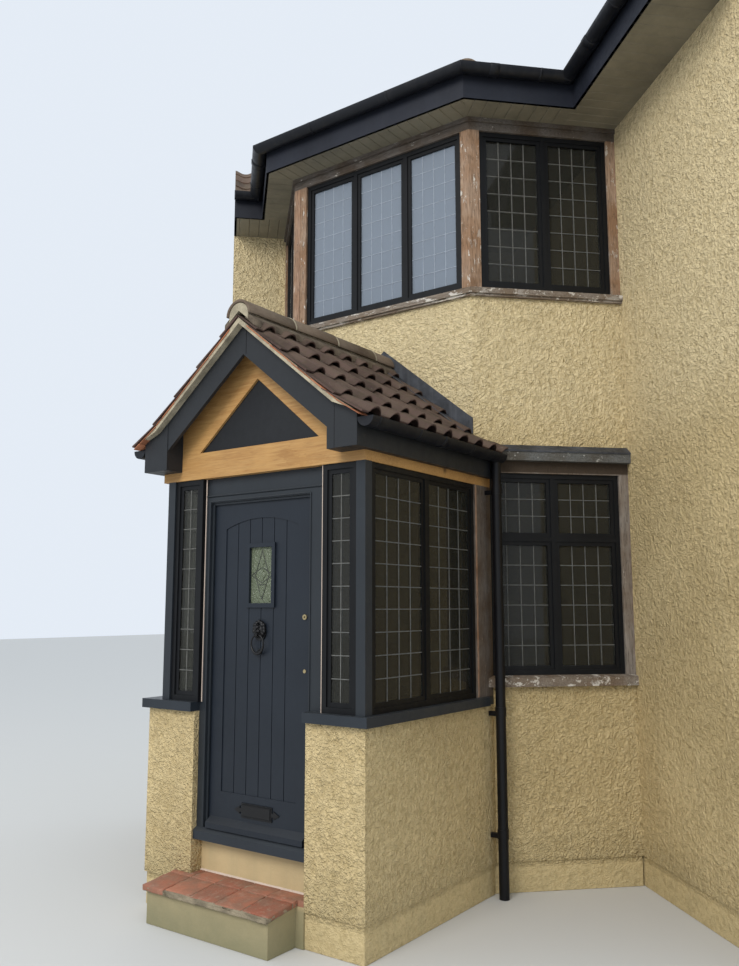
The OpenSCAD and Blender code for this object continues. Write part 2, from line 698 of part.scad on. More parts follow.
// Roof: everything under the tiles' upper faces, moved down by dz for what lies beneath them,
// and grown sideways where it only cuts
trim = 10;
eaves_v = bay_over + tile_over;
eaves_vh = house_over + tile_over;
bay_edge_z = fascia_top - tan(bay_pitch) * tile_over + roof_t;
house_edge_z = fascia_top - tan(house_pitch) * tile_over + roof_t;
valley_run = (eaves_vh + wall_t) * tan(house_pitch) / tan(bay_pitch);
module under_slope(over, z0, pitch) translate([0, -over, z0]) rotate([pitch, 0, 0])
    translate([-big, -big, -big]) cube([2 * big, 2 * big, big]);
module house_mass(end, grow) intersection() {
    extrude(-big / 10, big) polygon([[-valley_run, -eaves_vh - grow], [end + grow, -eaves_vh - grow],
        [end + grow, wall_t + grow], [-valley_run, wall_t + grow]]);
    under_slope(eaves_vh, house_edge_z, house_pitch);
}
module roof_mass(dz, grow) translate([0, 0, dz]) {
    v = eaves_v + grow;
    t = wall_t + grow;
    intersection() {
        extrude(-big / 10, big) polygon(concat([left_pt(facet_l + t, v)], bay_corners(v),
            [right_pt(facet_r + t, v), back_corner(t)]));
        on_left() under_slope(eaves_v, bay_edge_z, bay_pitch);
        on_splay() under_slope(eaves_v, bay_edge_z, bay_pitch);
        on_right() under_slope(eaves_v, bay_edge_z, bay_pitch);
    }
    on_house() house_mass(stub_l, grow);
    on_wing() house_mass(stub_r, grow);
}
module roof_tiles() color(tile_brown) difference() {
    roof_mass(0, 0);
    roof_mass(-roof_t, trim);
}
hip_v = -splay_w / (2 * half_turn);
function hip_z(v) = bay_edge_z + tan(bay_pitch) * (eaves_v - v);
hip_top = [for (p = bay_corners(hip_v)) [p.x, p.y, hip_z(hip_v)]];
back_z = hip_z(hip_v) + tan(bay_pitch) * c * (back_corner(wall_t).y - hip_top[0].y);
module half_tube_run(a, b, drop, trim_a, trim_b) {
    d = b - a;
    run = norm([d.x, d.y]);
    translate(a - [0, 0, drop]) rotate([0, 0, atan2(d.y, d.x)]) rotate([0, -atan2(d.z, run), 0])
        along_x(trim_a, norm(d) - trim_b) rotate(180) half_ring(hip_r, ridge_t);
}
hip_fall = tan(bay_pitch) * sin(22.5) * hip_r;
back_fall = tan(bay_pitch) * c * hip_r;
module hip_tiles() color(tile_brown) difference() {
    union() {
        for (i = [0, 1]) {
            foot = bay_corners(eaves_v)[i];
            half_tube_run([foot.x, foot.y, bay_edge_z], hip_top[i], hip_fall, 0, hip_trim);
        }
        half_tube_run(hip_top[0], [hip_top[0].x, back_corner(wall_t).y, back_z], back_fall, hip_r,
            hip_r / 2);
    }
    roof_mass(0, 0);
}

// Porch walls, cut to the bay's faces
module clear_of_bay() difference() {
    children();
    extrude(-big / 10, big) polygon(concat(bay_line(join_gap), [back_corner(0)]));
}
module clear_of_porch() difference() {
    children();
    clear_of_bay() box(-porch_half, porch_half, -porch_d, wall_t, 0, beam_top);
}
module right_wall_outline(inset, out, t) polygon([[gap_half, -porch_d - out + inset],
    [porch_half + out - inset, -porch_d - out + inset], [porch_half + out - inset, wall_t],
    [porch_half - t, wall_t], [porch_half - t, t - porch_d], [gap_half, t - porch_d]]);
module dwarf_wall() rendered_wall(dwarf_h) {
    right_wall_outline(0, 0, dwarf_t);
    right_wall_outline(plinth_in, 0, dwarf_t);
}
module porch_wall_right() color(roughcast) clear_of_bay() dwarf_wall();
module porch_wall_left() color(roughcast) clear_of_bay() mirror([1, 0, 0]) dwarf_wall();
module porch_cills() color(grey_paint) difference() {
    clear_of_bay() both_sides() extrude(dwarf_h, win_z) right_wall_outline(0, porch_cill_out, dwarf_t);
    box(porch_half, big, pipe.y - pipe_r - pipe_gap, big, dwarf_h, win_z);
}
module corner_posts() color(grey_paint) framed() box(frame_half - post_w, frame_half,
    -porch_d, post_w - porch_d, win_z, beam_z);
module wall_posts() color(old_timber) clear_of_bay() framed() box(frame_half - beam_t,
    frame_half, -wall_post_d, wall_t, win_z, beam_z);
module oak_beams() color(oak) {
    roofed() box(-beam_half, beam_half, -porch_d, beam_t - porch_d, beam_z, beam_top);
    clear_of_bay() framed() box(frame_half - beam_t, frame_half, -porch_d, wall_t, beam_z, beam_top);
}
module porch_ceiling() color("#e9e4d8") box(frame_l + beam_t, porch_half - beam_t,
    beam_t - porch_d, 0, beam_z, beam_z + porch_ceiling_t);

// Porch windows
sidelight_x = leg_out + seal_gap;
sidelight_w = frame_half - post_w - sidelight_x;
side_win_w = porch_d - post_w - wall_post_d;
module in_sidelight() framed() translate([sidelight_x, frame_set - porch_d, win_z]) children();
module in_side() framed() translate([frame_half - frame_set, post_w - porch_d, win_z])
    rotate([0, 0, 90]) children();
module porch_window_frames() color(black_frame) {
    in_sidelight() window_frame(sidelight_w, porch_win_h, 1, d = porch_frame_d);
    in_side() window_frame(side_win_w, porch_win_h, 2, d = porch_frame_d);
}
module porch_glass() color("#8d9a98", 0.4) {
    in_sidelight() window_glass(sidelight_w, porch_win_h, 1, d = porch_frame_d);
    in_side() window_glass(side_win_w, porch_win_h, 2, d = porch_frame_d);
}

// Entrance: step, threshold and door frame
step_run = step_out + step_nose;
function step_under(out) = step_z - step_tile_t - step_fall * out / step_run;
module step_base() color(smooth_render) {
    along_x(-step_left, step_right) polygon([[-porch_d - step_out, 0], [-porch_d, 0],
        [-porch_d, step_under(0) - join_gap], [-porch_d - step_out, step_under(step_out) - join_gap]]);
    box(-gap_half, gap_half, -porch_d, riser_set - porch_d, 0, step_under(0) - join_gap);
    box(-gap_half, gap_half, riser_set - porch_d, leaf_in, 0, threshold_z);
}
module step_tiles() color("#a9604a") {
    along_x(-step_left - step_nose / 2, step_right + step_nose / 2) polygon([[-porch_d, step_z],
        [-porch_d, step_under(0)], [-porch_d - step_run, step_under(step_run)],
        [-porch_d - step_run, step_under(step_run) + step_tile_t]]);
    box(-gap_half, gap_half, -porch_d, riser_set - porch_d, step_under(0), step_z);
}
module threshold() color(grey_paint) along_x(-gap_half, gap_half) polygon([
    [frame_front - threshold_out, threshold_z], [leaf_in, threshold_z],
    [leaf_in, threshold_z + threshold_h], [frame_front, threshold_z + threshold_h],
    [frame_front - threshold_out, threshold_z + threshold_h - threshold_fall]]);
module door_frame() color(grey_paint) {
    leaf_top = door_z + door_h;
    foot = threshold_z + threshold_h;
    left = frame_shift - leg_out;
    right = frame_shift + leg_out;
    panel_y = frame_front + over_set;
    box(-gap_half, door_x - leg_in, frame_front, leaf_in, foot, win_z);
    box(left, door_x - leg_in, frame_front, leaf_in, win_z, frame_top);
    box(door_x + leg_in, gap_half, frame_front, leaf_in, foot, win_z);
    box(door_x + leg_in, right, frame_front, leaf_in, win_z, frame_top);
    box(left, right, frame_front, leaf_in, leaf_top + door_gap, frame_top);
    box(left, right, panel_y, panel_y + over_panel_t, frame_top, beam_z);
    translate([door_x, 0, 0]) {
        both_sides() box(door_w / 2 - stop_w, leg_in, leaf_y - stop_front, leaf_y - door_gap, foot,
            leaf_top + door_gap);
        box(-leg_in, leg_in, leaf_y - stop_front, leaf_y - door_gap, leaf_top - stop_w,
            leaf_top + door_gap);
    }
}

// The door leaf and what it carries, drawn at its opening angle
module swung() translate([door_x + pin.x, pin.y, 0]) rotate([0, 0, door_open])
    translate([-pin.x, -pin.y, 0]) children();
field_w = door_w - 2 * field_side;
field_z = door_z + field_bottom;
field_h = door_h - field_bottom - field_top;
arch_r = (field_w * field_w / 4 + field_rise * field_rise) / (2 * field_rise);
light_z = door_z + door_h - light_down - light_h;
knocker_z = light_z - knocker_down;
module field_outline() {
    translate([-field_w / 2, field_z]) square([field_w, field_h]);
    intersection() {
        translate([-field_w / 2, field_z + field_h]) square([field_w, field_rise]);
        translate([0, field_z + field_h + field_rise - arch_r]) circle(arch_r, $fn = 180);
    }
}
module door_leaf() color(grey_paint) swung() difference() {
    union() {
        difference() {
            box(-door_w / 2, door_w / 2, leaf_y, leaf_in, door_z, door_z + door_h);
            upright(leaf_y - 1, field_y) field_outline();
            upright(leaf_y - 1, field_y + groove_w) intersection() {
                field_outline();
                for (i = [1 : boards - 1]) translate([i * field_w / boards - field_w / 2 - groove_w / 2,
                    field_z]) square([groove_w, field_h + field_rise]);
            }
        }
        box(-light_w / 2 - bead_w, light_w / 2 + bead_w, leaf_y - bead_out, leaf_in,
            light_z - bead_w, light_z + light_h + bead_w);
        along_x(bar_in - door_w / 2, door_w / 2 - bar_in) polygon([[leaf_y, door_z],
            [leaf_y - bar_out, door_z], [leaf_y - bar_out, door_z + bar_h / 2], [leaf_y, door_z + bar_h]]);
    }
    box(-light_w / 2, light_w / 2, leaf_y - big, leaf_in + big, light_z, light_z + light_h);
}
module door_glass() color("#b9c2bd", 0.4) swung() box(-light_w / 2, light_w / 2,
    leaf_y + (door_t - glass_t) / 2, leaf_y + (door_t + glass_t) / 2, light_z, light_z + light_h);
module door_hinges() color("#9a9a96") swung() for (i = [0 : hinges - 1]) {
    z = door_z + door_h / (2 * hinges) + i * door_h / hinges - hinge_l / 2;
    translate([pin.x, pin.y, z]) cylinder(r = pin_r, h = hinge_l);
    box(pin.x, pin.x + hinge_w, leaf_in, leaf_in + pin_in / 2, z, z + hinge_l);
}
function spear(side, up) = [for (p = [[0, point_h / 4], [point_l / 4, point_h / 4],
    [point_l / 5, point_h / 2]]) [side * (letter_w / 2 + p.x), up * p.y]];
module letter_outline() polygon(concat([[letter_w / 2, -letter_h / 2]], spear(1, -1),
    [[letter_w / 2 + point_l, 0]], reversed(spear(1, 1)), [[letter_w / 2, letter_h / 2],
    [-letter_w / 2, letter_h / 2]], spear(-1, 1), [[-letter_w / 2 - point_l, 0]],
    reversed(spear(-1, -1)), [[-letter_w / 2, -letter_h / 2]]));
module letter_plate() color("#15161a") swung() translate([0, 0, door_z + letter_up]) {
    upright(leaf_y - letter_t, leaf_y) letter_outline();
    upright(leaf_y - letter_t - flap_t, leaf_y - letter_t)
        square([letter_w - 2 * flap_in, letter_h - 2 * flap_in], center = true);
}
module door_locks() color("#b99a5a") swung() translate([door_w / 2 - lock_in, 0, door_z]) {
    translate([0, 0, latch_up]) upright(leaf_y - latch_r / 2, leaf_y) difference() {
        circle(latch_r);
        circle(latch_r / 3);
    }
    translate([0, 0, keyhole_up]) upright(leaf_y - latch_r / 4, leaf_y) circle(keyhole_r);
}
lug_w = 16;
lug_r = 13;
bore_gap = 2;
head_r = 28;
stud_r = 9;
plate_t = 10;
strike_t = 4;
head_out = 12;
ring_y = field_y - ring_out;
module knocker_plate() color("#15161a") swung() {
    difference() {
        union() {
            translate([0, 0, knocker_z + head_r / 2]) upright(field_y - plate_t, field_y) circle(knocker_r);
            translate([0, field_y - head_out, knocker_z + head_r - bore_gap]) sphere(head_r);
            translate([0, ring_y, knocker_z]) along_x(-lug_w / 2, lug_w / 2) circle(lug_r);
            box(-lug_w / 2, lug_w / 2, ring_y, field_y, knocker_z - lug_r, knocker_z + lug_r);
        }
        translate([0, ring_y, knocker_z]) along_x(-knocker_r, knocker_r) circle(ring_bar + bore_gap);
        box(-big, big, field_y, field_y + big, 0, big);
    }
    translate([0, 0, knocker_z - 2 * ring_r]) {
        upright(field_y - strike_t, field_y) circle(2 * stud_r);
        upright(ring_y + ring_bar + clip_gap, field_y) circle(stud_r);
    }
}
module knocker_ring() color("#15161a") swung() translate([0, ring_y, knocker_z - ring_r])
    rotate([90, 0, 0]) rotate_extrude() translate([ring_r, 0]) circle(ring_bar);

// Porch roof
module gable_rafters() color(oak) roofed() upright(-porch_d, gable_d - porch_d) polygon([
    [-beam_half, beam_top], [-beam_half, deck_under(beam_half) - join_gap],
    [0, deck_apex_z - join_gap], [beam_half, deck_under(beam_half) - join_gap],
    [beam_half, beam_top], [gable_half, beam_top],
    [0, beam_top + gable_h], [-gable_half, beam_top]]);
module gable_panel() color("#3a3e48") roofed()
    upright(gable_set - porch_d, gable_set + gable_panel_t - porch_d)
    polygon([[-gable_half, beam_top], [gable_half, beam_top], [0, beam_top + gable_h]]);
foot_in = eaves_x - foot_w;
module barge_half() polygon([[0, barge_top(0)], [flare_x, barge_top(flare_x)],
    [eaves_x, tile_under(eaves_x) - 2 * join_gap], [eaves_x, foot_z], [foot_in, foot_z],
    [foot_in, barge_top(foot_in) - barge_h], [0, barge_top(0) - barge_h]]);
module foot_half() polygon([[foot_in, foot_z], [eaves_x, foot_z],
    [eaves_x, tile_under(eaves_x) - join_gap], [board_in, tile_under(board_in) - join_gap],
    [board_in, deck_under(board_in) - join_gap], [foot_in, deck_under(foot_in) - join_gap]]);
module bargeboards() color(grey_paint) roofed() {
    upright(barge_y, barge_y + barge_t) both_sides() barge_half();
    upright(barge_y + barge_t, -porch_d) both_sides() foot_half();
}
module porch_eaves() color(grey_paint) clear_of_bay() {
    roofed() both_sides() upright(-porch_d, roof_back) polygon([[beam_half, foot_z],
        [eaves_x, foot_z], [eaves_x, tile_under(eaves_x) - join_gap],
        [board_in, tile_under(board_in) - join_gap], [board_in, foot_z + eaves_t],
        [beam_half, foot_z + eaves_t]]);
    box(roof_x - beam_half, frame_l, beam_t - porch_d, 0, foot_z, foot_z + eaves_t);
}
module porch_deck() color("#6b4a33") clear_of_bay() roofed() upright(barge_y + barge_t, roof_back)
    polygon(arch_band([[0, deck_apex_z], [board_in, deck_under(board_in)]],
        [for (x = [0, flare_x, board_in]) [x, tile_under(x) - join_gap]]));
module verge_mortar() color("#c9bfa0") roofed() {
    upright(tile_front + verge_set, barge_y + barge_t) polygon(arch_band([[0, barge_top(0)],
        [flare_x, barge_top(flare_x)], [eaves_x, tile_under(eaves_x) - join_gap]],
        [for (x = [0, flare_x]) [x, tile_under(x) - join_gap]]));
    bed_r = ridge_r - ridge_t;
    upright(tile_front + verge_set, -lead_t) difference() {
        union() {
            translate([0, ridge_z]) circle(bed_r);
            translate([-bed_r, ridge_z - bed_r]) square([2 * bed_r, bed_r]);
        }
        translate([0, tile_top_z + join_gap]) polygon([[0, 0], [-big, -slope * big], [big, -slope * big]]);
    }
}
tile_top_z = tile_apex_z + tile_t;
ridge_z = tile_top_z + ridge_up;
tile_line = [[0, tile_apex_z], [flare_x, tile_under(flare_x)], [roof_half, tile_under(roof_half)]];
module porch_tiles() color(tile_brown) clear_of_bay() roofed() upright(tile_front, roof_back)
    polygon(arch_band(tile_line, [for (p = tile_line) p + [0, tile_t]]));
module ridge_tiles() color("#6b5342") roofed() upright(tile_front, -lead_t) translate([0, ridge_z])
    rotate(180) half_ring(ridge_r, ridge_t);
flash_l = corner_l.x - roof_x;
flash_line = [for (x = [0, flare_x, -flash_l]) [x, tile_under(x) + tile_t + join_gap]];
module flash_band(h) intersection() {
    polygon(arch_band(flash_line, [for (p = flash_line) p + [0, h]]));
    translate([flash_l, 0]) square([splay_w, big]);
}
module step_flashing() color(lead) roofed() {
    upright(-lead_t, 0) flash_band(flash_h);
    difference() {
        upright(-flash_w, -lead_t) flash_band(lead_t);
        upright(-flash_w - 1, 1) translate([-ridge_r, ridge_z - ridge_r])
            square([2 * ridge_r, 2 * ridge_r]);
    }
}
module porch_gutter(y1) {
    x = eaves_x + clip_gap + porch_gutter_r;
    translate([x, 0, gutter_z]) upright(barge_y - gutter_t, y1) half_ring(porch_gutter_r, gutter_t);
    translate([x, 0, gutter_z]) {
        upright(barge_y - gutter_t, barge_y) half_disc(porch_gutter_r);
        upright(y1 - gutter_t, y1) half_disc(porch_gutter_r);
    }
}
module porch_gutters() color("#1a1c22") roofed() {
    porch_gutter(roof_back - clip_gap);
    mirror([1, 0, 0]) porch_gutter(-clip_gap);
}
module downpipe() color("#1a1c22") {
    translate(pipe) cylinder(r = pipe_r, h = gutter_z - porch_gutter_r - clip_gap);
    for (z = pipe_clips) {
        translate([pipe.x, pipe.y, z]) cylinder(r = pipe_r + gutter_t, h = collar_h);
        box(porch_half, pipe.x - pipe_r / 2, pipe.y - collar_h / 4, pipe.y + collar_h / 4, z,
            z + collar_h / 2);
    }
}

ground_floor();
front_wall_lower();
side_wall_lower();
splay_piers();
apron_wall();
house_wall();
wing_wall();
upper_floor();
bay_ceiling();
window_posts();
window_head();
bay_cills();
lower_surrounds();
hood_boards();
lead_hoods();
upper_window_frames();
lower_window_frames();
upper_glass();
lower_glass();
soffit();
fascia();
bay_gutter();
roof_tiles();
hip_tiles();
porch_wall_left();
porch_wall_right();
step_base();
step_tiles();
threshold();
porch_cills();
corner_posts();
wall_posts();
door_frame();
porch_window_frames();
porch_glass();
oak_beams();
gable_rafters();
gable_panel();
porch_ceiling();
bargeboards();
porch_eaves();
porch_deck();
verge_mortar();
porch_tiles();
ridge_tiles();
step_flashing();
porch_gutters();
downpipe();
door_leaf();
door_glass();
door_hinges();
letter_plate();
door_locks();
knocker_plate();
knocker_ring();
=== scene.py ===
import math

import bpy
from mathutils import Matrix, Vector, noise


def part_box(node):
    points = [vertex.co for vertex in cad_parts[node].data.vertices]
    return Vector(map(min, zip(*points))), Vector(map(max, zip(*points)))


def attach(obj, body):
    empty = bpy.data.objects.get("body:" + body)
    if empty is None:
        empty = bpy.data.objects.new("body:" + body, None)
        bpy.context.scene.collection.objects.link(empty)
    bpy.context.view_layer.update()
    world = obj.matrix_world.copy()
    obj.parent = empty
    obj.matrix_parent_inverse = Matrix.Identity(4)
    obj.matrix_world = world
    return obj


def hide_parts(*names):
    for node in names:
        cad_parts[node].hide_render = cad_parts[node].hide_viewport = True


bl_info = {
    "name": "Corner Bay and Porch",
    "version": (1, 0, 0),
    "blender": (4, 5, 0),
    "location": "View3D > Sidebar > Bay and Porch",
    "description": "Dresses a splayed corner bay window and its gabled entrance porch",
    "category": "Add Mesh",
}

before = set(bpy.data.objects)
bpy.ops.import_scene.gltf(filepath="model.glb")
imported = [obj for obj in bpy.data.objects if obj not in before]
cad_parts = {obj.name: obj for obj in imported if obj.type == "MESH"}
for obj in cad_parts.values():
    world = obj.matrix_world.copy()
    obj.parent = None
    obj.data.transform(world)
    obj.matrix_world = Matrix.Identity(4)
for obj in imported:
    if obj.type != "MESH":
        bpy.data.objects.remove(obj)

# The bay's plan, in metres, as the CAD model has it
SPLAY_LEFT = -0.89
SPLAY_RIGHT = 0.81
FACET_RIGHT = 1.16
FACET_LEFT = 1.23
STUB_LEFT = 0.52
STUB_RIGHT = 1.75
WALL = 0.25
BAY_OVER = 0.26
HOUSE_OVER = 0.43
SOFFIT_Z = 5.55
PORCH_DEPTH = 1.42
FRAME_HALF = 0.83
FRAME_SHIFT = 0.06
ROOF_X = 0.035
DOOR_X = 0.025
FIELD_Y = -1.34
MIDDLE_X = (SPLAY_LEFT + SPLAY_RIGHT) / 2
COS45 = math.sqrt(0.5)
HALF_TURN = math.tan(math.radians(22.5))
MITRE_LEFT = (-math.cos(math.radians(22.5)), math.sin(math.radians(22.5)), 0)
MITRE_RIGHT = (-MITRE_LEFT[0], MITRE_LEFT[1], 0)
SOFFIT_THICK = 0.0155
SMALL = 0.0003
HAIR = 0.001


# The far corners of the bay's right and left faces
WING = Vector((SPLAY_RIGHT + FACET_RIGHT * COS45, FACET_RIGHT * COS45, 0))
HOUSE = Vector((SPLAY_LEFT - FACET_LEFT * COS45, FACET_LEFT * COS45, 0))
MIRROR = Matrix.Scale(-1, 4, (1, 0, 0))


def turn(degrees, axis="Z"):
    """A rotation matrix about one of the main axes."""
    return Matrix.Rotation(math.radians(degrees), 4, axis)


# Each wall's own frame: x runs along the wall, y into the building and z up
WALLS = {
    "splay": Matrix.Translation((SPLAY_LEFT, 0, 0)),
    "right": Matrix.Translation((SPLAY_RIGHT, 0, 0)) @ turn(45),
    "left": Matrix.Translation((SPLAY_LEFT, 0, 0)) @ MIRROR @ turn(45),
    "wing": Matrix.Translation(WING) @ turn(-45),
    "house": Matrix.Translation(HOUSE) @ MIRROR @ turn(-45),
    "porch_front": Matrix.Translation((FRAME_SHIFT, -PORCH_DEPTH, 0)),
    "porch_front_left": Matrix.Translation((FRAME_SHIFT, -PORCH_DEPTH, 0)) @ MIRROR,
    "porch_right": Matrix.Translation((FRAME_SHIFT + FRAME_HALF, 0, 0)) @ turn(90),
    "porch_left": Matrix.Translation((FRAME_SHIFT - FRAME_HALF, 0, 0)) @ MIRROR @ turn(90),
}


# Modelling helpers
def clear():
    """Leaves edit mode and deselects everything."""
    if bpy.context.mode != "OBJECT":
        bpy.ops.object.mode_set(mode="OBJECT")
    bpy.ops.object.select_all(action="DESELECT")


def pick(piece):
    """Makes one piece the only selected and active object."""
    clear()
    piece.select_set(True)
    bpy.context.view_layer.objects.active = piece


def settle(piece):
    """Puts a piece's place, turn and size into its mesh."""
    pick(piece)
    bpy.ops.object.transform_apply(location=True, rotation=True, scale=True)
    return piece


def edit(piece, component="FACE"):
    """Opens a piece in edit mode with nothing selected."""
    pick(piece)
    bpy.ops.object.mode_set(mode="EDIT")
    bpy.ops.mesh.select_mode(type=component)
    bpy.ops.mesh.select_all(action="DESELECT")
    bpy.ops.object.mode_set(mode="OBJECT")
    return piece.data


def mark(items, test):
    """Selects the faces, edges or points that pass a test."""
    for item in items:
        item.select = bool(test(item))


def whole(piece):
    """Opens a piece in edit mode with all of it selected."""
    pick(piece)
    bpy.ops.object.mode_set(mode="EDIT")
    bpy.ops.mesh.select_all(action="SELECT")


def done():
    """Goes back to object mode."""
    bpy.ops.object.mode_set(mode="OBJECT")


def block(name, low, high, soft=0.0, segments=1):
    """A squared piece between two corners, with its edges eased."""
    clear()
    low = Vector(low)
    high = Vector(high)
    bpy.ops.mesh.primitive_cube_add(size=1, location=(low + high) / 2, scale=high - low)
    piece = settle(bpy.context.object)
    piece.name = name
    if soft:
        whole(piece)
        bpy.ops.mesh.bevel(offset=soft, segments=segments, affect="EDGES")
        done()
    return piece


def drawn(name, points, along, soft=0.0):
    """A flat outline of points, extruded along a vector, with its edges eased."""
    clear()
    bpy.ops.mesh.primitive_circle_add(vertices=len(points), radius=1, fill_type="NGON")
    piece = bpy.context.object
    piece.name = name
    for vertex, point in zip(piece.data.vertices, points):
        vertex.co = point
    whole(piece)
    bpy.ops.mesh.extrude_region_move(TRANSFORM_OT_translate={"value": Vector(along)})
    bpy.ops.mesh.select_all(action="SELECT")
    bpy.ops.mesh.normals_make_consistent(inside=False)
    if soft:
        bpy.ops.mesh.bevel(offset=soft, segments=1, affect="EDGES")
    done()
    return piece


def smooth(piece, degrees):
    """Shades a piece smooth up to an angle between its faces."""
    pick(piece)
    bpy.ops.object.shade_smooth_by_angle(angle=math.radians(degrees))
    return piece


def modified(piece, kind, **settings):
    """Adds a modifier to a piece and applies it."""
    pick(piece)
    tool = piece.modifiers.new(kind.lower(), kind)
    for name, value in settings.items():
        setattr(tool, name, value)
    bpy.ops.object.modifier_apply(modifier=tool.name)
    return piece


def joined(pieces, name):
    """Joins pieces into one named object."""
    clear()
    for piece in pieces:
        piece.select_set(True)
    bpy.context.view_layer.objects.active = pieces[0]
    if len(pieces) > 1:
        bpy.ops.object.join()
    pieces[0].name = name
    pieces[0].data.name = name
    return pieces[0]


def moved(piece, place):
    """Puts a piece's own mesh in place, its faces still outward if the place mirrors it."""
    piece.data.transform(place)
    if place.determinant() < 0:
        piece.data.flip_normals()
    return piece


def copy_at(piece, place):
    """A copy of a modelled piece with its own mesh, put in place."""
    twin = bpy.data.objects.new(piece.name, piece.data.copy())
    bpy.context.collection.objects.link(twin)
    return moved(twin, place)


def copies(piece, places):
    """Copies of a modelled piece at each place. The piece itself goes."""
    twins = [copy_at(piece, place) for place in places]
    bpy.data.objects.remove(piece, do_unlink=True)
    return twins


def at(x=0.0, y=0.0, z=0.0):
    """A move as a matrix."""
    return Matrix.Translation((x, y, z))


def cut(piece, point, normal):
    """Cuts away what lies past a plane, on the side its normal points to, and closes the cut."""
    whole(piece)
    bpy.ops.mesh.bisect(plane_co=point, plane_no=normal, use_fill=True, clear_outer=True,
                        threshold=0.00001)
    done()
    return piece


def cut_in(piece, matrix, point, normal):
    """Cuts a piece with a plane given in a wall's frame."""
    return cut(piece, matrix @ Vector(point), matrix.to_3x3() @ Vector(normal))


def eased(piece, size, test):
    """Bevels the edges whose two ends pass a test."""
    mesh = edit(piece, "EDGE")
    mark(mesh.edges, lambda edge: test(*(mesh.vertices[index].co for index in edge.vertices)))
    bpy.ops.object.mode_set(mode="EDIT")
    bpy.ops.mesh.bevel(offset=size, segments=1, affect="EDGES")
    done()
    return piece


def finish(piece, body, paint, replaces=(), angle=35):
    """Dresses a finished piece, ties it to its body and hides the CAD nodes it stands for."""
    piece.data.materials.clear()
    piece.data.materials.append(paints()[paint])
    if angle:
        smooth(piece, angle)
    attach(piece, body)
    for node in replaces:
        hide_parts(node)
    return piece


# Shader node groups
def put(tree, kind, values=None, **settings):
    """Adds a node, sets its settings, and fills or links its inputs."""
    node = tree.nodes.new(kind)
    for name, value in settings.items():
        setattr(node, name, value)
    for key, value in (values or {}).items():
        if isinstance(value, bpy.types.NodeSocket):
            tree.links.new(value, node.inputs[key])
        else:
            node.inputs[key].default_value = value
    return node


def math_node(tree, operation, first, second=0.0, third=0.0):
    """A maths node's result."""
    return put(tree, "ShaderNodeMath", {0: first, 1: second, 2: third},
               operation=operation).outputs[0]


def times(tree, first, second):
    """One value times another."""
    return math_node(tree, "MULTIPLY", first, second)


def ramp(tree, value, low, high, to_low=0.0, to_high=1.0):
    """Stretches a value from one range to another, without going past its ends."""
    return put(tree, "ShaderNodeMapRange", {"Value": value, "From Min": low, "From Max": high,
               "To Min": to_low, "To Max": to_high}, clamp=True).outputs["Result"]


def height_of(tree, vector):
    """The Z part of a vector."""
    return put(tree, "ShaderNodeSeparateXYZ", {0: vector}).outputs["Z"]


def blend(tree, share, first, second):
    """Mixes two colours."""
    node = put(tree, "ShaderNodeMix", data_type="RGBA")
    for key, value in ((0, share), (6, first), (7, second)):
        if isinstance(value, bpy.types.NodeSocket):
            tree.links.new(value, node.inputs[key])
        elif key == 0:
            node.inputs[key].default_value = value
        else:
            node.inputs[key].default_value = tuple(value)[:3] + (1.0,)
    return node.outputs[2]


def layered(tree, colour, *layers):
    """Lays more colours over a colour, each through a mask and at its own strength."""
    for mask, strength, paint in layers:
        share = mask if strength == 1 else times(tree, mask, strength)
        colour = blend(tree, share, colour, paint)
    return colour


def new_group(name, inputs, outputs):
    """Starts a shader node group: its tree, what it is given and what it hands out."""
    tree = bpy.data.node_groups.new(name, "ShaderNodeTree")
    for label, value in inputs.items():
        kind = VECTOR if value is None else FLOAT
        socket = tree.interface.new_socket(name=label, in_out="INPUT", socket_type=kind)
        if value is not None:
            socket.default_value = value
    for label in outputs:
        tree.interface.new_socket(name=label, in_out="OUTPUT", socket_type=FLOAT)
    return tree, tree.nodes.new("NodeGroupInput").outputs, tree.nodes.new(
        "NodeGroupOutput").inputs


def speckle(tree, vector, scale, detail, roughness=0.5, distortion=0.0):
    """A noise texture's value."""
    return put(tree, "ShaderNodeTexNoise", {"Vector": vector, "Scale": scale, "Detail": detail,
               "Roughness": roughness, "Distortion": distortion}).outputs["Fac"]


def cells(tree, vector, scale):
    """The distance to the nearest point of a scatter of points."""
    return put(tree, "ShaderNodeTexVoronoi", {"Vector": vector, "Scale": scale,
               "Randomness": 1.0}, feature="F1").outputs["Distance"]


def drawn_out(tree, vector, share, operation="MULTIPLY"):
    """A vector with its Z part multiplied or divided."""
    flat = put(tree, "ShaderNodeSeparateXYZ", {0: vector}).outputs
    long = math_node(tree, operation, flat["Z"], share)
    return put(tree, "ShaderNodeCombineXYZ", {"X": flat["X"], "Y": flat["Y"], "Z": long}
               ).outputs[0]


FLOAT = "NodeSocketFloat"
VECTOR = "NodeSocketVector"


def make_mottle():
    """Soft cloudy variation at two sizes, as on weathered paint, tile or render."""
    tree, given, out = new_group("mottle", {"Vector": None, "Size": 0.3, "Contrast": 1.0},
                                 ("Mask", "Fine"))
    scale = math_node(tree, "DIVIDE", 1.0, given["Size"])
    wide = speckle(tree, given["Vector"], scale, 4.0, 0.6)
    fine = speckle(tree, given["Vector"], times(tree, scale, 9.0), 3.0, 0.65)
    spread = math_node(tree, "MULTIPLY_ADD", math_node(tree, "SUBTRACT", wide, 0.5),
                       times(tree, given["Contrast"], 3.0), 0.5)
    tree.links.new(ramp(tree, spread, 0.0, 1.0), out["Mask"])
    tree.links.new(ramp(tree, fine, 0.3, 0.7), out["Fine"])
    return tree


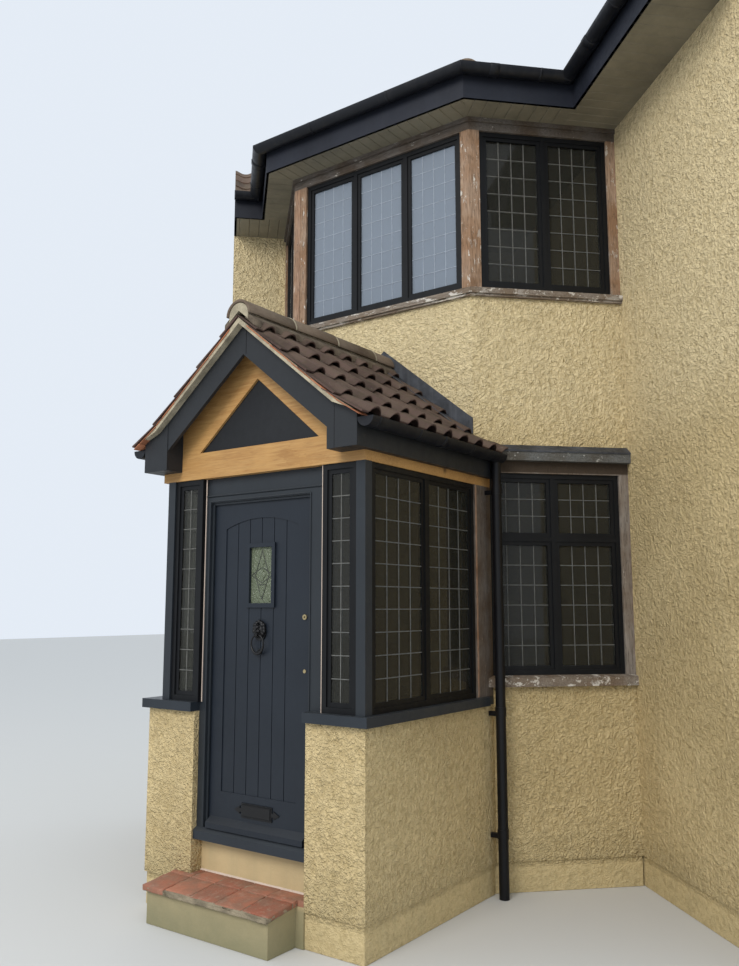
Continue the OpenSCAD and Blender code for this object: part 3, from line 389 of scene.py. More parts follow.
def make_stipple():
    """Thrown lumps of roughcast: rounded stones of two sizes under a coat of paint, with a mask of
    their hollows for painted shade.
    """
    tree, given, out = new_group("roughcast_lumps", {"Vector": None, "Lump": 0.02},
                                 ("Height", "Hollow Shade"))
    scale = math_node(tree, "DIVIDE", 1.0, given["Lump"])
    warp = put(tree, "ShaderNodeTexNoise", {"Vector": given["Vector"],
               "Scale": times(tree, scale, 0.7), "Detail": 2.0})
    shift = put(tree, "ShaderNodeVectorMath", {0: warp.outputs["Color"], 1: (0.5, 0.5, 0.5)},
                operation="SUBTRACT")
    reach = put(tree, "ShaderNodeVectorMath", {0: shift.outputs[0],
                "Scale": times(tree, given["Lump"], 0.45)}, operation="SCALE")
    warped = put(tree, "ShaderNodeVectorMath", {0: given["Vector"], 1: reach.outputs[0]},
                 operation="ADD").outputs[0]
    lump = ramp(tree, cells(tree, warped, scale), 0.1, 0.75, 1.0, 0.0)
    small = ramp(tree, cells(tree, warped, times(tree, scale, 2.1)), 0.05, 0.6, 0.5, 0.0)
    wave = speckle(tree, given["Vector"], times(tree, scale, 0.6), 5.0, 0.62)
    height = math_node(tree, "ADD", math_node(tree, "MULTIPLY_ADD", lump, 0.42, small),
                       times(tree, wave, 2.0))
    tree.links.new(height, out["Height"])
    # The hollows between the lumps: a mask where shade is painted into the colour
    tree.links.new(ramp(tree, height, 0.8, 1.42, 1.0, 0.0), out["Hollow Shade"])
    return tree


def make_grain():
    """Long wood grain along Z of the vector it is given, with knots, pores and open cracks."""
    tree, given, out = new_group("wood_grain", {"Vector": None, "Width": 0.012, "Length": 14.0},
                                 ("Grain", "Crack", "Knot"))
    squeezed = drawn_out(tree, given["Vector"], given["Length"], "DIVIDE")
    scale = math_node(tree, "DIVIDE", 1.0, given["Width"])
    fibre = speckle(tree, squeezed, scale, 5.0, 0.6, 0.5)
    split = speckle(tree, squeezed, times(tree, scale, 0.7), 2.0)
    crease = math_node(tree, "ABSOLUTE", math_node(tree, "SUBTRACT", split, 0.5))
    knots = cells(tree, given["Vector"], 3.1)
    tree.links.new(ramp(tree, fibre, 0.3, 0.72), out["Grain"])
    tree.links.new(ramp(tree, crease, 0.0, 0.035, 1.0, 0.0), out["Crack"])
    tree.links.new(ramp(tree, knots, 0.03, 0.1, 1.0, 0.0), out["Knot"])
    return tree


def make_flakes():
    """Islands of old paint left on bare wood, drawn out along Z of the vector."""
    tree, given, out = new_group("paint_flakes", {"Vector": None, "Size": 0.05, "Cover": 0.4},
                                 ("Paint",))
    patch = speckle(tree, drawn_out(tree, given["Vector"], 0.35),
                    math_node(tree, "DIVIDE", 1.0, given["Size"]), 8.0, 0.72)
    level = math_node(tree, "MULTIPLY_ADD", given["Cover"], -0.4, 0.7)
    above = math_node(tree, "SUBTRACT", patch, level)
    tree.links.new(ramp(tree, above, -0.008, 0.012), out["Paint"])
    return tree


def make_grime():
    """Splash and dust near the ground, streaks down the face, and dirt on upward faces."""
    tree, given, out = new_group("grime", {"Vector": None, "Foot": 0.35},
                                 ("Splash", "Streak", "Upward"))
    blotch = speckle(tree, given["Vector"], 6.0, 5.0, 0.7)
    height = math_node(tree, "DIVIDE", height_of(tree, given["Vector"]), given["Foot"])
    edge = math_node(tree, "MULTIPLY_ADD", blotch, 1.2, -0.6)
    low = ramp(tree, math_node(tree, "ADD", height, edge), 0.0, 1.0, 1.0, 0.0)
    run = speckle(tree, drawn_out(tree, given["Vector"], 0.06), 14.0, 4.0, 0.6)
    facing = height_of(tree, put(tree, "ShaderNodeNewGeometry").outputs["Normal"])
    tree.links.new(low, out["Splash"])
    tree.links.new(ramp(tree, run, 0.5, 0.72), out["Streak"])
    tree.links.new(ramp(tree, facing, 0.35, 0.95), out["Upward"])
    return tree


GROUPS = {}


def group(name):
    """A shared node group, made the first time that it is asked for."""
    makers = {"mottle": make_mottle, "stipple": make_stipple, "grain": make_grain,
              "flakes": make_flakes, "grime": make_grime}
    if name not in GROUPS:
        GROUPS[name] = makers[name]()
    return GROUPS[name]


def effect(tree, name, **values):
    """A shared effect placed in a material with its own values."""
    return put(tree, "ShaderNodeGroup", values, node_tree=group(name)).outputs


# Materials
def surface(name, **sockets):
    """A new material, its tree, its shader and its Object coordinates."""
    material = bpy.data.materials.new(name)
    material.use_nodes = True
    tree = material.node_tree
    shader = tree.nodes["Principled BSDF"]
    for key, value in sockets.items():
        shader.inputs[key.replace("_", " ")].default_value = value
    place = tree.nodes.new("ShaderNodeTexCoord").outputs["Object"]
    return material, tree, shader, place


def clouded(name, size, contrast, shine, **sockets):
    """Starts a material: its tree, its coordinates, its clouds, and coat() to end it with."""
    material, tree, shader, place = surface(name, Specular_IOR_Level=shine, **sockets)
    cloud = effect(tree, "mottle", Vector=place, Size=size, Contrast=contrast)

    def coat(paint, low, high, height, depth, strength, spread=cloud["Fine"]):
        """Gives the material its colour, a roughness from low to high and its relief."""
        rough = ramp(tree, spread, 0.0, 1.0, low, high)
        wire(tree, shader, paint, rough, height, depth, strength)
        return material

    return tree, place, cloud, coat


def tint(colour, *shares):
    """A colour scaled by one share, or by one for each channel."""
    shares = shares if len(shares) == 3 else shares * 3
    return tuple(min(1.0, part * share) for part, share in zip(colour, shares))


def wire(tree, shader, colour=None, roughness=None, height=None, depth=0.002, strength=1.0):
    """Joins colour, roughness and bump to a shader."""
    if colour is not None:
        tree.links.new(colour, shader.inputs["Base Color"])
    if roughness is not None:
        tree.links.new(roughness, shader.inputs["Roughness"])
    if height is not None:
        bump = put(tree, "ShaderNodeBump", {"Height": height, "Distance": depth,
                   "Strength": strength})
        tree.links.new(bump.outputs["Normal"], shader.inputs["Normal"])


def laid(tree, place, axis):
    """Object coordinates turned so that the grain runs along X, Y or Z."""
    turns = {"X": (0, math.radians(90), 0), "Y": (math.radians(90), 0, 0), "Z": (0, 0, 0)}
    return put(tree, "ShaderNodeMapping", {"Vector": place, "Rotation": turns[axis]}
               ).outputs["Vector"]


def tone_of(tree):
    """The tone that each tile carries on its points."""
    return put(tree, "ShaderNodeAttribute", attribute_name=TONE).outputs["Fac"]


def roughcast_finish(colour):
    """Coarse painted roughcast: paler upstairs, with painted shade in its hollows, smoother at its
    foot.
    """
    tree, place, cloud, coat = clouded("roughcast", 0.9, 0.8, 0.25)
    lumps = effect(tree, "stipple", Vector=place, Lump=0.024)
    dirt = effect(tree, "grime", Vector=place, Foot=0.45)
    height = height_of(tree, place)
    lower = blend(tree, cloud["Mask"], tint(colour, 0.88, 0.86, 0.82), tint(colour, 1.14))
    paint = layered(tree, lower, (ramp(tree, height, 2.9, 3.4), 1, (0.79, 0.65, 0.39)),
                    # Painted shade: the hollows between the lumps are darkened
                    (lumps["Hollow Shade"], 0.5, tint(colour, 0.5, 0.45, 0.34)),
                    (dirt["Streak"], 0.12, (0.3, 0.26, 0.18)),
                    (dirt["Splash"], 0.4, (0.3, 0.26, 0.15)))
    cast = times(tree, lumps["Height"], ramp(tree, height, 0.16, 0.21, 0.3))
    return coat(paint, 0.78, 0.95, cast, 0.02, 1.0)


def render_finish(colour):
    """Smooth painted render, streaked, and damp and soiled near the ground."""
    tree, place, cloud, coat = clouded("smooth_render", 0.3, 1.0, 0.3)
    dirt = effect(tree, "grime", Vector=place, Foot=0.24)
    damp = ramp(tree, height_of(tree, place), 0.19, 0.24, 0.75, 0.0)
    paint = layered(tree, tint(colour, 0.86), (cloud["Mask"], 1, colour),
                    (dirt["Streak"], 0.2, (0.34, 0.3, 0.18)), (damp, 1, (0.27, 0.24, 0.14)),
                    (dirt["Splash"], 0.75, (0.2, 0.19, 0.11)))
    return coat(paint, 0.6, 0.85, cloud["Fine"], 0.0015, 0.6)


def painted_wood_finish(name, colour, axis, sheen=0.42, wear=0.12):
    """New paint on joinery: a satin coat with the grain just showing through."""
    tree, place, cloud, coat = clouded(name, 0.5, 0.7, 0.32)
    grain = effect(tree, "grain", Vector=laid(tree, place, axis), Width=0.004, Length=18.0)
    dirt = effect(tree, "grime", Vector=place, Foot=0.3)
    lighter = tuple(part * 1.4 + 0.003 for part in colour)
    paint = layered(tree, colour, (cloud["Mask"], 0.6, lighter),
                    (grain["Grain"], 0.16, tint(colour, 0.6)),
                    (dirt["Upward"], wear, (0.4, 0.38, 0.33)))
    return coat(paint, sheen - 0.07, sheen + 0.1, grain["Grain"], 0.0005, 0.5)


def oak_finish(name, colour, axis):
    """New oak: golden, with open grain, dark knots, stains and a few drying cracks."""
    tree, place, cloud, coat = clouded(name, 0.35, 1.1, 0.35)
    along = laid(tree, place, axis)
    grain = effect(tree, "grain", Vector=along, Width=0.014, Length=16.0)
    fine = effect(tree, "grain", Vector=along, Width=0.003, Length=30.0)
    stain = effect(tree, "flakes", Vector=along, Size=0.16, Cover=0.22)
    dark = tint(colour, 0.62, 0.5, 0.4)
    wood = layered(tree, dark, (grain["Grain"], 1, colour),
                   (cloud["Mask"], 0.5, tint(colour, 1.15, 1.1, 0.95)),
                   (fine["Grain"], 0.22, dark), (grain["Crack"], 0.16, (0.08, 0.04, 0.02)),
                   (grain["Knot"], 0.85, (0.07, 0.03, 0.015)),
                   (stain["Paint"], 0.3, tint(colour, 0.55, 0.42, 0.3)))
    return coat(wood, 0.5, 0.72, grain["Grain"], 0.0015, 0.5, fine["Grain"])


def old_timber_finish(name, colour, axis, cover=0.35, paint=(0.62, 0.58, 0.52), head=9.0):
    """Old stained timber with flakes of pale paint left on it, darker above the head height."""
    tree, place, cloud, coat = clouded(name, 0.22, 1.3, 0.2)
    along = laid(tree, place, axis)
    grain = effect(tree, "grain", Vector=along, Width=0.01, Length=12.0)
    flake = effect(tree, "flakes", Vector=along, Size=0.045, Cover=cover)
    film = effect(tree, "flakes", Vector=along, Size=0.14, Cover=cover * 0.9)
    silver = (colour[0] * 1.25 + 0.03, colour[1] * 1.45 + 0.03, colour[2] * 1.7 + 0.03)
    above = ramp(tree, height_of(tree, place), head, head + 0.01)
    wood = layered(tree, colour, (cloud["Mask"], 1, silver),
                   (grain["Grain"], 0.6, tint(colour, 0.45)),
                   (grain["Crack"], 0.5, (0.03, 0.02, 0.015)),
                   (film["Paint"], 0.45, tint(paint, 0.75)), (flake["Paint"], 0.9, paint),
                   (above, 1, (0.05, 0.036, 0.025)))
    height = math_node(tree, "ADD", times(tree, flake["Paint"], 0.7),
                       math_node(tree, "MULTIPLY_ADD", grain["Grain"], 0.6,
                                 times(tree, grain["Crack"], -0.8)))
    return coat(wood, 0.7, 0.92, height, 0.0022, 0.8)


def tile_finish(name, colour, pale, moss=0.35):
    """Weathered clay or concrete tile: sooty, lichened, each tile a little different."""
    tree, place, cloud, coat = clouded(name, 0.25, 1.3, 0.2)
    spots = effect(tree, "flakes", Vector=place, Size=0.03, Cover=0.16)
    dirt = effect(tree, "grime", Vector=place, Foot=0.3)
    body = layered(tree, tint(colour, 0.62), (tone_of(tree), 1, tint(colour, 1.35)),
                   (cloud["Mask"], 0.55, pale), (spots["Paint"], 0.35, (0.2, 0.17, 0.13)),
                   (times(tree, dirt["Upward"], cloud["Fine"]), moss, (0.1, 0.1, 0.045)))
    return coat(body, 0.72, 0.95, cloud["Fine"], 0.003, 0.8)


def lead_finish():
    """Dull grey lead sheet with white bloom and dressing marks."""
    tree, place, cloud, coat = clouded("lead_sheet", 0.18, 1.4, 0.35)
    dirt = effect(tree, "grime", Vector=place, Foot=0.3)
    body = layered(tree, (0.024, 0.026, 0.031), (cloud["Mask"], 1, (0.055, 0.06, 0.072)),
                   (dirt["Streak"], 0.3, (0.16, 0.17, 0.18)))
    return coat(body, 0.45, 0.7, cloud["Mask"], 0.004, 0.5)


def mortar_finish(name, colour):
    """Sand and cement mortar: gritty, streaked, with painted shade in its hollows."""
    tree, place, cloud, coat = clouded(name, 0.12, 1.4, 0.2)
    grit = effect(tree, "stipple", Vector=place, Lump=0.006)
    body = layered(tree, tint(colour, 0.6), (cloud["Mask"], 1, colour),
                   # Painted shade: the hollows of the grit are darkened
                   (grit["Hollow Shade"], 0.4, tint(colour, 0.3)))
    return coat(body, 0.8, 0.96, grit["Height"], 0.003, 0.8)


def plastic_finish(name, colour, gloss, dust=0.2):
    """Painted or moulded gutters and frames: a sheen dulled by dust on what faces up."""
    tree, place, cloud, coat = clouded(name, 0.4, 1.0, 0.25)
    dirt = effect(tree, "grime", Vector=place, Foot=0.3)
    film = math_node(tree, "MULTIPLY_ADD", dirt["Streak"], 0.25, dirt["Upward"])
    body = layered(tree, colour, (cloud["Mask"], 0.5, tuple(part * 1.8 + 0.002
                                                            for part in colour)),
                   (film, dust, (0.12, 0.115, 0.1)))
    return coat(body, gloss, gloss + 0.18, cloud["Mask"], 0.0008, 0.4)


def board_finish(name, colour, axis):
    """Flat painted boards, a little grimy."""
    tree, place, cloud, coat = clouded(name, 0.3, 1.2, 0.35)
    grain = effect(tree, "grain", Vector=laid(tree, place, axis), Width=0.006, Length=14.0)
    body = layered(tree, tint(colour, 0.72), (cloud["Mask"], 1, colour),
                   (grain["Grain"], 0.12, tint(colour, 0.5)))
    return coat(body, 0.5, 0.75, grain["Grain"], 0.0008, 0.5)


def clay_finish():
    """Worn red quarry tiles: burnt patches, chips and cement haze."""
    tree, place, cloud, coat = clouded("quarry_tiles", 0.12, 1.5, 0.3)
    haze = effect(tree, "flakes", Vector=place, Size=0.05, Cover=0.34)
    body = layered(tree, (0.29, 0.1, 0.06), (tone_of(tree), 1, (0.4, 0.165, 0.1)),
                   (cloud["Mask"], 0.6, (0.2, 0.13, 0.09)),
                   (times(tree, haze["Paint"], cloud["Fine"]), 0.4, (0.42, 0.32, 0.24)))
    return coat(body, 0.5, 0.85, cloud["Fine"], 0.0015, 0.6)


def glass_finish(name, tint_colour, roughness=0.02, ripple=0.0, clear=0.9, index=1.3):
    """Window glass: how clear it is, its tint and its ripple."""
    material, tree, shader, place = surface(
        name, Base_Color=tint_colour + (1.0,), Roughness=roughness, IOR=index,
        Transmission_Weight=clear)
    if ripple:
        wave = effect(tree, "mottle", Vector=place, Size=0.02, Contrast=1.6)
        wire(tree, shader, height=wave["Mask"], depth=ripple, strength=1.0)
    return material


def metal_finish(name, colour, roughness, metallic=1.0, tarnish=0.3):
    """Small metal fittings with tarnish in patches."""
    tree, _, cloud, coat = clouded(name, 0.03, 1.5, 0.5, Metallic=metallic)
    body = layered(tree, colour, (cloud["Mask"], tarnish, tint(colour, 0.35)))
    return coat(body, roughness - 0.05, roughness + 0.18, cloud["Fine"], 0.0004, 0.5)


# Finishes of the CAD solids
ROUGHCAST = (0.67, 0.53, 0.29)
CREAM = (0.55, 0.425, 0.235)
ANTHRACITE = (0.016, 0.02, 0.025)
DOOR_PAINT = (0.009, 0.013, 0.02)
BLACK = (0.002, 0.0025, 0.0035)
OAK = (0.46, 0.275, 0.105)
PAINTS = {}


def paints():
    """The materials of the whole scene, made once."""
    if not PAINTS:
        PAINTS.update({
            "roughcast": roughcast_finish(ROUGHCAST),
            "smooth_render": render_finish(CREAM),
            "floor": board_finish("inner_floor", (0.05, 0.042, 0.034), "X"),
            "white_board": board_finish("white_board", (0.2, 0.19, 0.17), "X"),
            "soffit": board_finish("soffit_boards", (0.24, 0.215, 0.155), "Y"),
            "posts": old_timber_finish("window_posts", (0.28, 0.165, 0.095), "Z", 0.26),
            "jambs": old_timber_finish("lower_timber", (0.2, 0.15, 0.11), "Z", 0.1,
                                       (0.42, 0.39, 0.34), 2.85),
            "head": old_timber_finish("window_head", (0.1, 0.075, 0.056), "X", 0.12),
            "cills": old_timber_finish("window_cills", (0.2, 0.145, 0.1), "X", 0.33),
            "hood_board": old_timber_finish("hood_board", (0.1, 0.09, 0.075), "X", 0.22,
                                            (0.4, 0.4, 0.38)),
            "wall_post": old_timber_finish("wall_posts", (0.12, 0.085, 0.06), "Z", 0.12,
                                           (0.22, 0.17, 0.13)),
            "raw_strip": old_timber_finish("raw_timber", (0.3, 0.17, 0.1), "Z", 0.05),
            "frames": plastic_finish("window_frames", BLACK, 0.42, 0.08),
            "glass": glass_finish("window_glass", (0.17, 0.17, 0.145), 0.02, 0.0, 0.9, 1.28),
            # Front panes: their blue tint is a painted reflection of the sky
            "painted_sky_glass": glass_finish("front_glass_painted_sky", (0.29, 0.34, 0.41), 0.12, 0.0, 0.45, 1.4),
            "bevelled_glass": glass_finish("bevelled_glass", (0.17, 0.2, 0.13), 0.14, 0.004,
                                           0.3, 1.45),
            "fascia": plastic_finish("fascia_boards", (0.011, 0.013, 0.02), 0.45, 0.08),
            "gutter": plastic_finish("gutters", (0.005, 0.006, 0.009), 0.34, 0.25),
            "pipe": plastic_finish("rain_pipe", (0.003, 0.003, 0.004), 0.34, 0.04),
            "porch_tile": tile_finish("porch_pantiles", (0.07, 0.042, 0.036),
                                      (0.13, 0.088, 0.07)),
            "bay_tile": tile_finish("bay_pantiles", (0.1, 0.062, 0.048), (0.17, 0.12, 0.085)),
            "ridge": tile_finish("ridge_tiles", (0.13, 0.095, 0.07), (0.2, 0.16, 0.12)),
            "undercloak": tile_finish("undercloak", (0.32, 0.12, 0.06), (0.4, 0.2, 0.12), 0.1),
            "mortar": mortar_finish("roof_mortar", (0.5, 0.44, 0.32)),
            "old_mortar": mortar_finish("old_mortar", (0.17, 0.135, 0.1)),
            "joint": mortar_finish("step_mortar", (0.36, 0.3, 0.21)),
            "clay": clay_finish(),
            "paint_x": painted_wood_finish("porch_paint_across", (0.016, 0.021, 0.028), "X", 0.4,
                                           0.04),
            "paint_z": painted_wood_finish("porch_paint_upright", ANTHRACITE, "Z"),
            "door": painted_wood_finish("door_paint", DOOR_PAINT, "Z", 0.4, 0.05),
            "panel": painted_wood_finish("gable_paint", (0.007, 0.008, 0.01), "X", 0.55),
            "barge": painted_wood_finish("bargeboard_paint", (0.013, 0.015, 0.018), "X", 0.5,
                                         0.05),
            "gap": plastic_finish("shadow_gap", (0.002, 0.002, 0.003), 0.6, 0.0),
            "oak_x": oak_finish("oak_across", OAK, "X"),
            "deck": oak_finish("roof_boards", (0.1, 0.065, 0.04), "Y"),
            "iron": metal_finish("black_iron", (0.006, 0.006, 0.007), 0.36, 0.3, 0.2),
            "brass": metal_finish("brass", (0.5, 0.4, 0.22), 0.3),
            "steel": metal_finish("steel", (0.45, 0.45, 0.44), 0.3),
            "lead": lead_finish(),
            "came": metal_finish("window_cames", (0.13, 0.13, 0.12), 0.55, 0.0, 0.5),
            # Front cames: the same lead as the side cames, painted paler and bluer as a reflection
            # of the sky
            "sky_sheen_came": metal_finish("front_cames_sky_sheen", (0.3, 0.34, 0.4), 0.5, 0.0, 0.3),
            "dark_came": metal_finish("door_cames", (0.05, 0.055, 0.045), 0.5, 0.0, 0.3),
            "sealant": render_finish((0.62, 0.5, 0.42)),
        })
    return PAINTS


PAINTED = {
    "roughcast": ("front_wall_lower", "side_wall_lower", "splay_piers", "apron_wall",
                  "house_wall", "wing_wall", "porch_wall_left", "porch_wall_right"),
    "smooth_render": ("step_base",), "clay": ("step_tiles",),
    "floor": ("ground_floor", "upper_floor"), "white_board": ("bay_ceiling", "porch_ceiling"),
    "posts": ("window_posts",), "head": ("window_head",), "cills": ("bay_cills",),
    "jambs": ("lower_surrounds",), "hood_board": ("hood_boards",), "wall_post": ("wall_posts",),
    "lead": ("lead_hoods", "step_flashing"),
    "frames": ("upper_window_frames", "lower_window_frames", "porch_window_frames"),
    "glass": ("upper_glass", "lower_glass", "porch_glass"), "bevelled_glass": ("door_glass",),
    "soffit": ("soffit",), "fascia": ("fascia",), "pipe": ("downpipe",),
    "gutter": ("bay_gutter", "porch_gutters"), "bay_tile": ("roof_tiles",),
    "porch_tile": ("porch_tiles",), "ridge": ("hip_tiles", "ridge_tiles"),
    "mortar": ("verge_mortar",), "paint_x": ("threshold", "porch_cills"),
    "paint_z": ("corner_posts", "door_frame"), "oak_x": ("oak_beams", "gable_rafters"),
    "panel": ("gable_panel",), "barge": ("bargeboards", "porch_eaves"), "deck": ("porch_deck",),
    "door": ("door_leaf",), "brass": ("door_locks",), "steel": ("door_hinges",),
    "iron": ("letter_plate", "knocker_plate", "knocker_ring"),
}


class BAY_OT_finishes(bpy.types.Operator):
    """Gives every solid of the model its finish"""
    bl_idname = "bay.finishes"
    bl_label = "Finish the Solids"

    def execute(self, context):
        for paint, nodes in PAINTED.items():
            for node in nodes:
                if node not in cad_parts:
                    self.report({"ERROR"}, "No such solid: " + node)
                    return {"CANCELLED"}
                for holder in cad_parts[node].material_slots:
                    holder.material = paints()[paint]
        return {"FINISHED"}


# Leaded lights
class BayLeadSettings(bpy.types.PropertyGroup):
    """Sizes of the windows' lead cames"""
    width: bpy.props.FloatProperty(name="Came Width", unit="LENGTH", default=0.006,
                                   description="Width of a lead came")
    proud: bpy.props.FloatProperty(name="Came Height", unit="LENGTH", default=0.0028,
                                   description="How far a came stands off the glass")
    joint: bpy.props.FloatProperty(name="Solder Joint", unit="LENGTH", default=0.009,
                                   description="Side of a solder joint where two cames cross")


FRAME_FACE = 0.034
SASH_FACE = 0.028
FRAME_SET = 0.012
FRAME_DEPTH = 0.07
PORCH_FRAME_DEPTH = 0.052
GLASS_T = 0.02
REBATE = 0.004
# Windows: wall, left edge, width, foot, lights, and rows of (foot, top, columns, rows)
UPPER_ROWS = ((0.034, 1.196, 4, 8),)
LOWER_ROWS = ((0.034, 0.933, 4, 6), (0.967, 1.386, 4, 3))
UPPER_WINDOWS = (
    ("splay", 0.125, 1.505, 4.225, 3, UPPER_ROWS),
    ("right", 0.08, 1.008, 4.225, 2, UPPER_ROWS),
    ("left", 0.08, 1.078, 4.225, 2, UPPER_ROWS),
)
LOWER_WINDOWS = (
    ("right", 0.08, 1.008, 1.43, 2, LOWER_ROWS),
    ("left", 0.08, 1.078, 1.43, 2, LOWER_ROWS),
)
SIDE_ROWS = ((0.034, 1.408, 4, 10),)
SIDELIGHT_ROWS = ((0.034, 1.408, 2, 10),)
PORCH_WINDOWS = (
    ("porch_front", 0.5085, 0.2555, 1.298, 1, SIDELIGHT_ROWS),
    ("porch_front_left", 0.5085, 0.2555, 1.298, 1, SIDELIGHT_ROWS),
    ("porch_right", -1.354, 1.214, 1.298, 2, SIDE_ROWS),
    ("porch_left", -1.354, 1.214, 1.298, 2, SIDE_ROWS),
)


def panes(window):
    """Each pane of glass in a window: its edges across and up, and its leads both ways."""
    wall, left, width, foot, lights, rows = window
    light = (width - (lights + 1) * FRAME_FACE) / lights
    for index in range(lights):
        start = left + FRAME_FACE + index * (light + FRAME_FACE) + SASH_FACE
        for low, top, columns, courses in rows:
            yield (start, start + light - 2 * SASH_FACE, foot + low + SASH_FACE,
                   foot + top - SASH_FACE, columns, courses)


def came(settings, length, upright):
    """A length of lead came with rounded sides, along X or Z, lying on the plane y = 0."""
    half = settings.width / 2
    proud = settings.proud
    face = [(-half, 0), (-half, -proud * 0.4), (-half * 0.5, -proud), (half * 0.5, -proud),
            (half, -proud * 0.4), (half, 0)]
    if upright:
        return drawn("came", [(x, y, 0) for x, y in face], (0, 0, length))
    return drawn("came", [(0, y, x) for x, y in face], (length, 0, 0))


def leads_of(window, settings):
    """All the cames and solder joints on both faces of one window's glass."""
    matrix = WALLS[window[0]]
    depth = PORCH_FRAME_DEPTH if window[0].startswith("porch") else FRAME_DEPTH
    glass = FRAME_SET + (depth - GLASS_T) / 2
    outer = matrix @ at(0, glass, 0)
    inner = matrix @ at(0, glass + GLASS_T, 0) @ Matrix.Scale(-1, 4, (0, 1, 0))
    half = settings.joint / 2
    joints = []
    pieces = []
    for x0, x1, z0, z1, columns, courses in panes(window):
        across = [x0 + (x1 - x0) * step / columns for step in range(1, columns)]
        up = [z0 + (z1 - z0) * step / courses for step in range(1, courses)]
        for side in (outer, inner):
            pieces += copies(came(settings, z1 - z0, True), [side @ at(x, 0, z0) for x in across])
            pieces += copies(came(settings, x1 - x0, False), [side @ at(x0, 0, z) for z in up])
        joints += [outer @ at(x, 0, z) for x in across for z in up]
    solder = block("solder", (-half, -settings.proud * 1.35, -half), (half, 0, half),
                   settings.proud * 0.6)
    return pieces + copies(solder, joints)


class BAY_OT_upper_panes(bpy.types.Operator):
    """Sets the panes of the upper windows: the front ones are tinted blue as a painted reflection
    of the sky
    """
    bl_idname = "bay.upper_panes"
    bl_label = "Upper Panes"

    def execute(self, context):
        front = []
        others = []
        glass = FRAME_SET + (FRAME_DEPTH - GLASS_T) / 2
        for window in UPPER_WINDOWS:
            kept = front if window[0] == "splay" else others
            for x0, x1, z0, z1, columns, courses in panes(window):
                pane = block("pane", (x0 - REBATE, glass, z0 - REBATE),
                             (x1 + REBATE, glass + GLASS_T, z1 + REBATE), 0.001)
                kept.append(moved(pane, WALLS[window[0]]))
        finish(joined(front, "upper_front_panes"), "house", "painted_sky_glass",
               ("upper_glass",), 0)
        finish(joined(others, "upper_side_panes"), "house", "glass", angle=0)
        return {"FINISHED"}


class BAY_OT_leads(bpy.types.Operator):
    """Lays the lead cames and their solder joints on the windows' glass"""
    bl_idname = "bay.leads"
    bl_label = "Window Leads"

    def execute(self, context):
        settings = context.scene.bay_leads
        for name, windows, paint in (
                ("front_leads", UPPER_WINDOWS[:1], "sky_sheen_came"),
                ("upper_leads", UPPER_WINDOWS[1:], "came"),
                ("lower_leads", LOWER_WINDOWS, "came"), ("porch_leads", PORCH_WINDOWS, "came")):
            pieces = [piece for window in windows for piece in leads_of(window, settings)]
            finish(joined(pieces, name), "house", paint, angle=40)
        return {"FINISHED"}


# Soffit boards
EAVES_RUNS = (
    ("splay", 1.7, BAY_OVER, True, True),
    ("right", FACET_RIGHT, BAY_OVER, True, False),
    ("left", FACET_LEFT, BAY_OVER, True, False),
    ("wing", STUB_RIGHT, HOUSE_OVER, False, False),
    ("house", STUB_LEFT, HOUSE_OVER, False, False),
)


class BaySoffitSettings(bpy.types.PropertyGroup):
    """Sizes of the soffit's boards"""
    board: bpy.props.FloatProperty(name="Board", unit="LENGTH", default=0.094,
                                   description="Width that each matchboard covers")
    groove: bpy.props.FloatProperty(name="Groove", unit="LENGTH", default=0.005,
                                    description="Width of the V between two boards")


class BAY_OT_soffit(bpy.types.Operator):
    """Lays matchboards across the underside of the eaves"""
    bl_idname = "bay.soffit"
    bl_label = "Soffit Boards"

    def execute(self, context):
        settings = context.scene.bay_soffit
        runs = []
        for wall, length, out, mitre_start, mitre_end in EAVES_RUNS:
            extra = out * HALF_TURN + settings.board
            start = -extra if mitre_start else 0
            end = length + extra if mitre_end else length
            if wall in ("right", "left"):
                end = length - HOUSE_OVER
            count = math.ceil((end - start) / settings.board)
            board = block("board", (0, -out + SMALL, SOFFIT_Z),
                          (settings.board - SMALL, -SMALL, SOFFIT_Z + SOFFIT_THICK))
            eased(board, settings.groove, lambda one, two: abs(one.x - two.x) < SMALL
                  and abs(one.z - SOFFIT_Z) < SMALL and abs(two.z - SOFFIT_Z) < SMALL)
            matrix = WALLS[wall]
            run = joined(copies(board, [matrix @ at(start + index * settings.board)
                                        for index in range(count)]), "soffit_" + wall)
            if mitre_start:
                cut_in(run, matrix, (0, 0, 0), MITRE_LEFT)
            if mitre_end:
                cut_in(run, matrix, (length, 0, 0), MITRE_RIGHT)
            else:
                cut_in(run, matrix, (end, 0, 0), (1, 0, 0))
            runs.append(run)
        finish(joined(runs, "soffit_boards"), "house", "soffit", ("soffit",), 0)
        return {"FINISHED"}


# Roofs
class BayRoofSettings(bpy.types.PropertyGroup):
    """Sizes of the pantiles and of the half-round tiles"""
    cover: bpy.props.FloatProperty(name="Cover", unit="LENGTH", default=0.2,
                                   description="Width that each pantile covers")
    gauge: bpy.props.FloatProperty(name="Gauge", unit="LENGTH", default=0.262,
                                   description="Distance between courses, up the slope")
    lap: bpy.props.FloatProperty(name="Head Lap", unit="LENGTH", default=0.075,
                                 description="How far each course runs under the next")
    roll: bpy.props.FloatProperty(name="Roll", unit="LENGTH", default=0.027,
                                  description="Height of a pantile's roll over its trough")
    thick: bpy.props.FloatProperty(name="Thickness", unit="LENGTH", default=0.012,
                                   description="Thickness of a pantile")
    lift: bpy.props.FloatProperty(name="Tail Lift", unit="LENGTH", default=0.014,
                                  description="Height of a tile's tail over its head")
    porch_roll: bpy.props.FloatProperty(name="Porch Roll", unit="LENGTH", default=0.043,
                                        description="Height of a porch tile's roll at its tail")
    length: bpy.props.FloatProperty(name="Half-round Length", unit="LENGTH", default=0.457,
                                    description="Length of a ridge or hip tile with its joint")
    joint: bpy.props.FloatProperty(name="Ridge Joint", unit="LENGTH", default=0.008,
                                   description="Width of the mortar joint between ridge tiles")


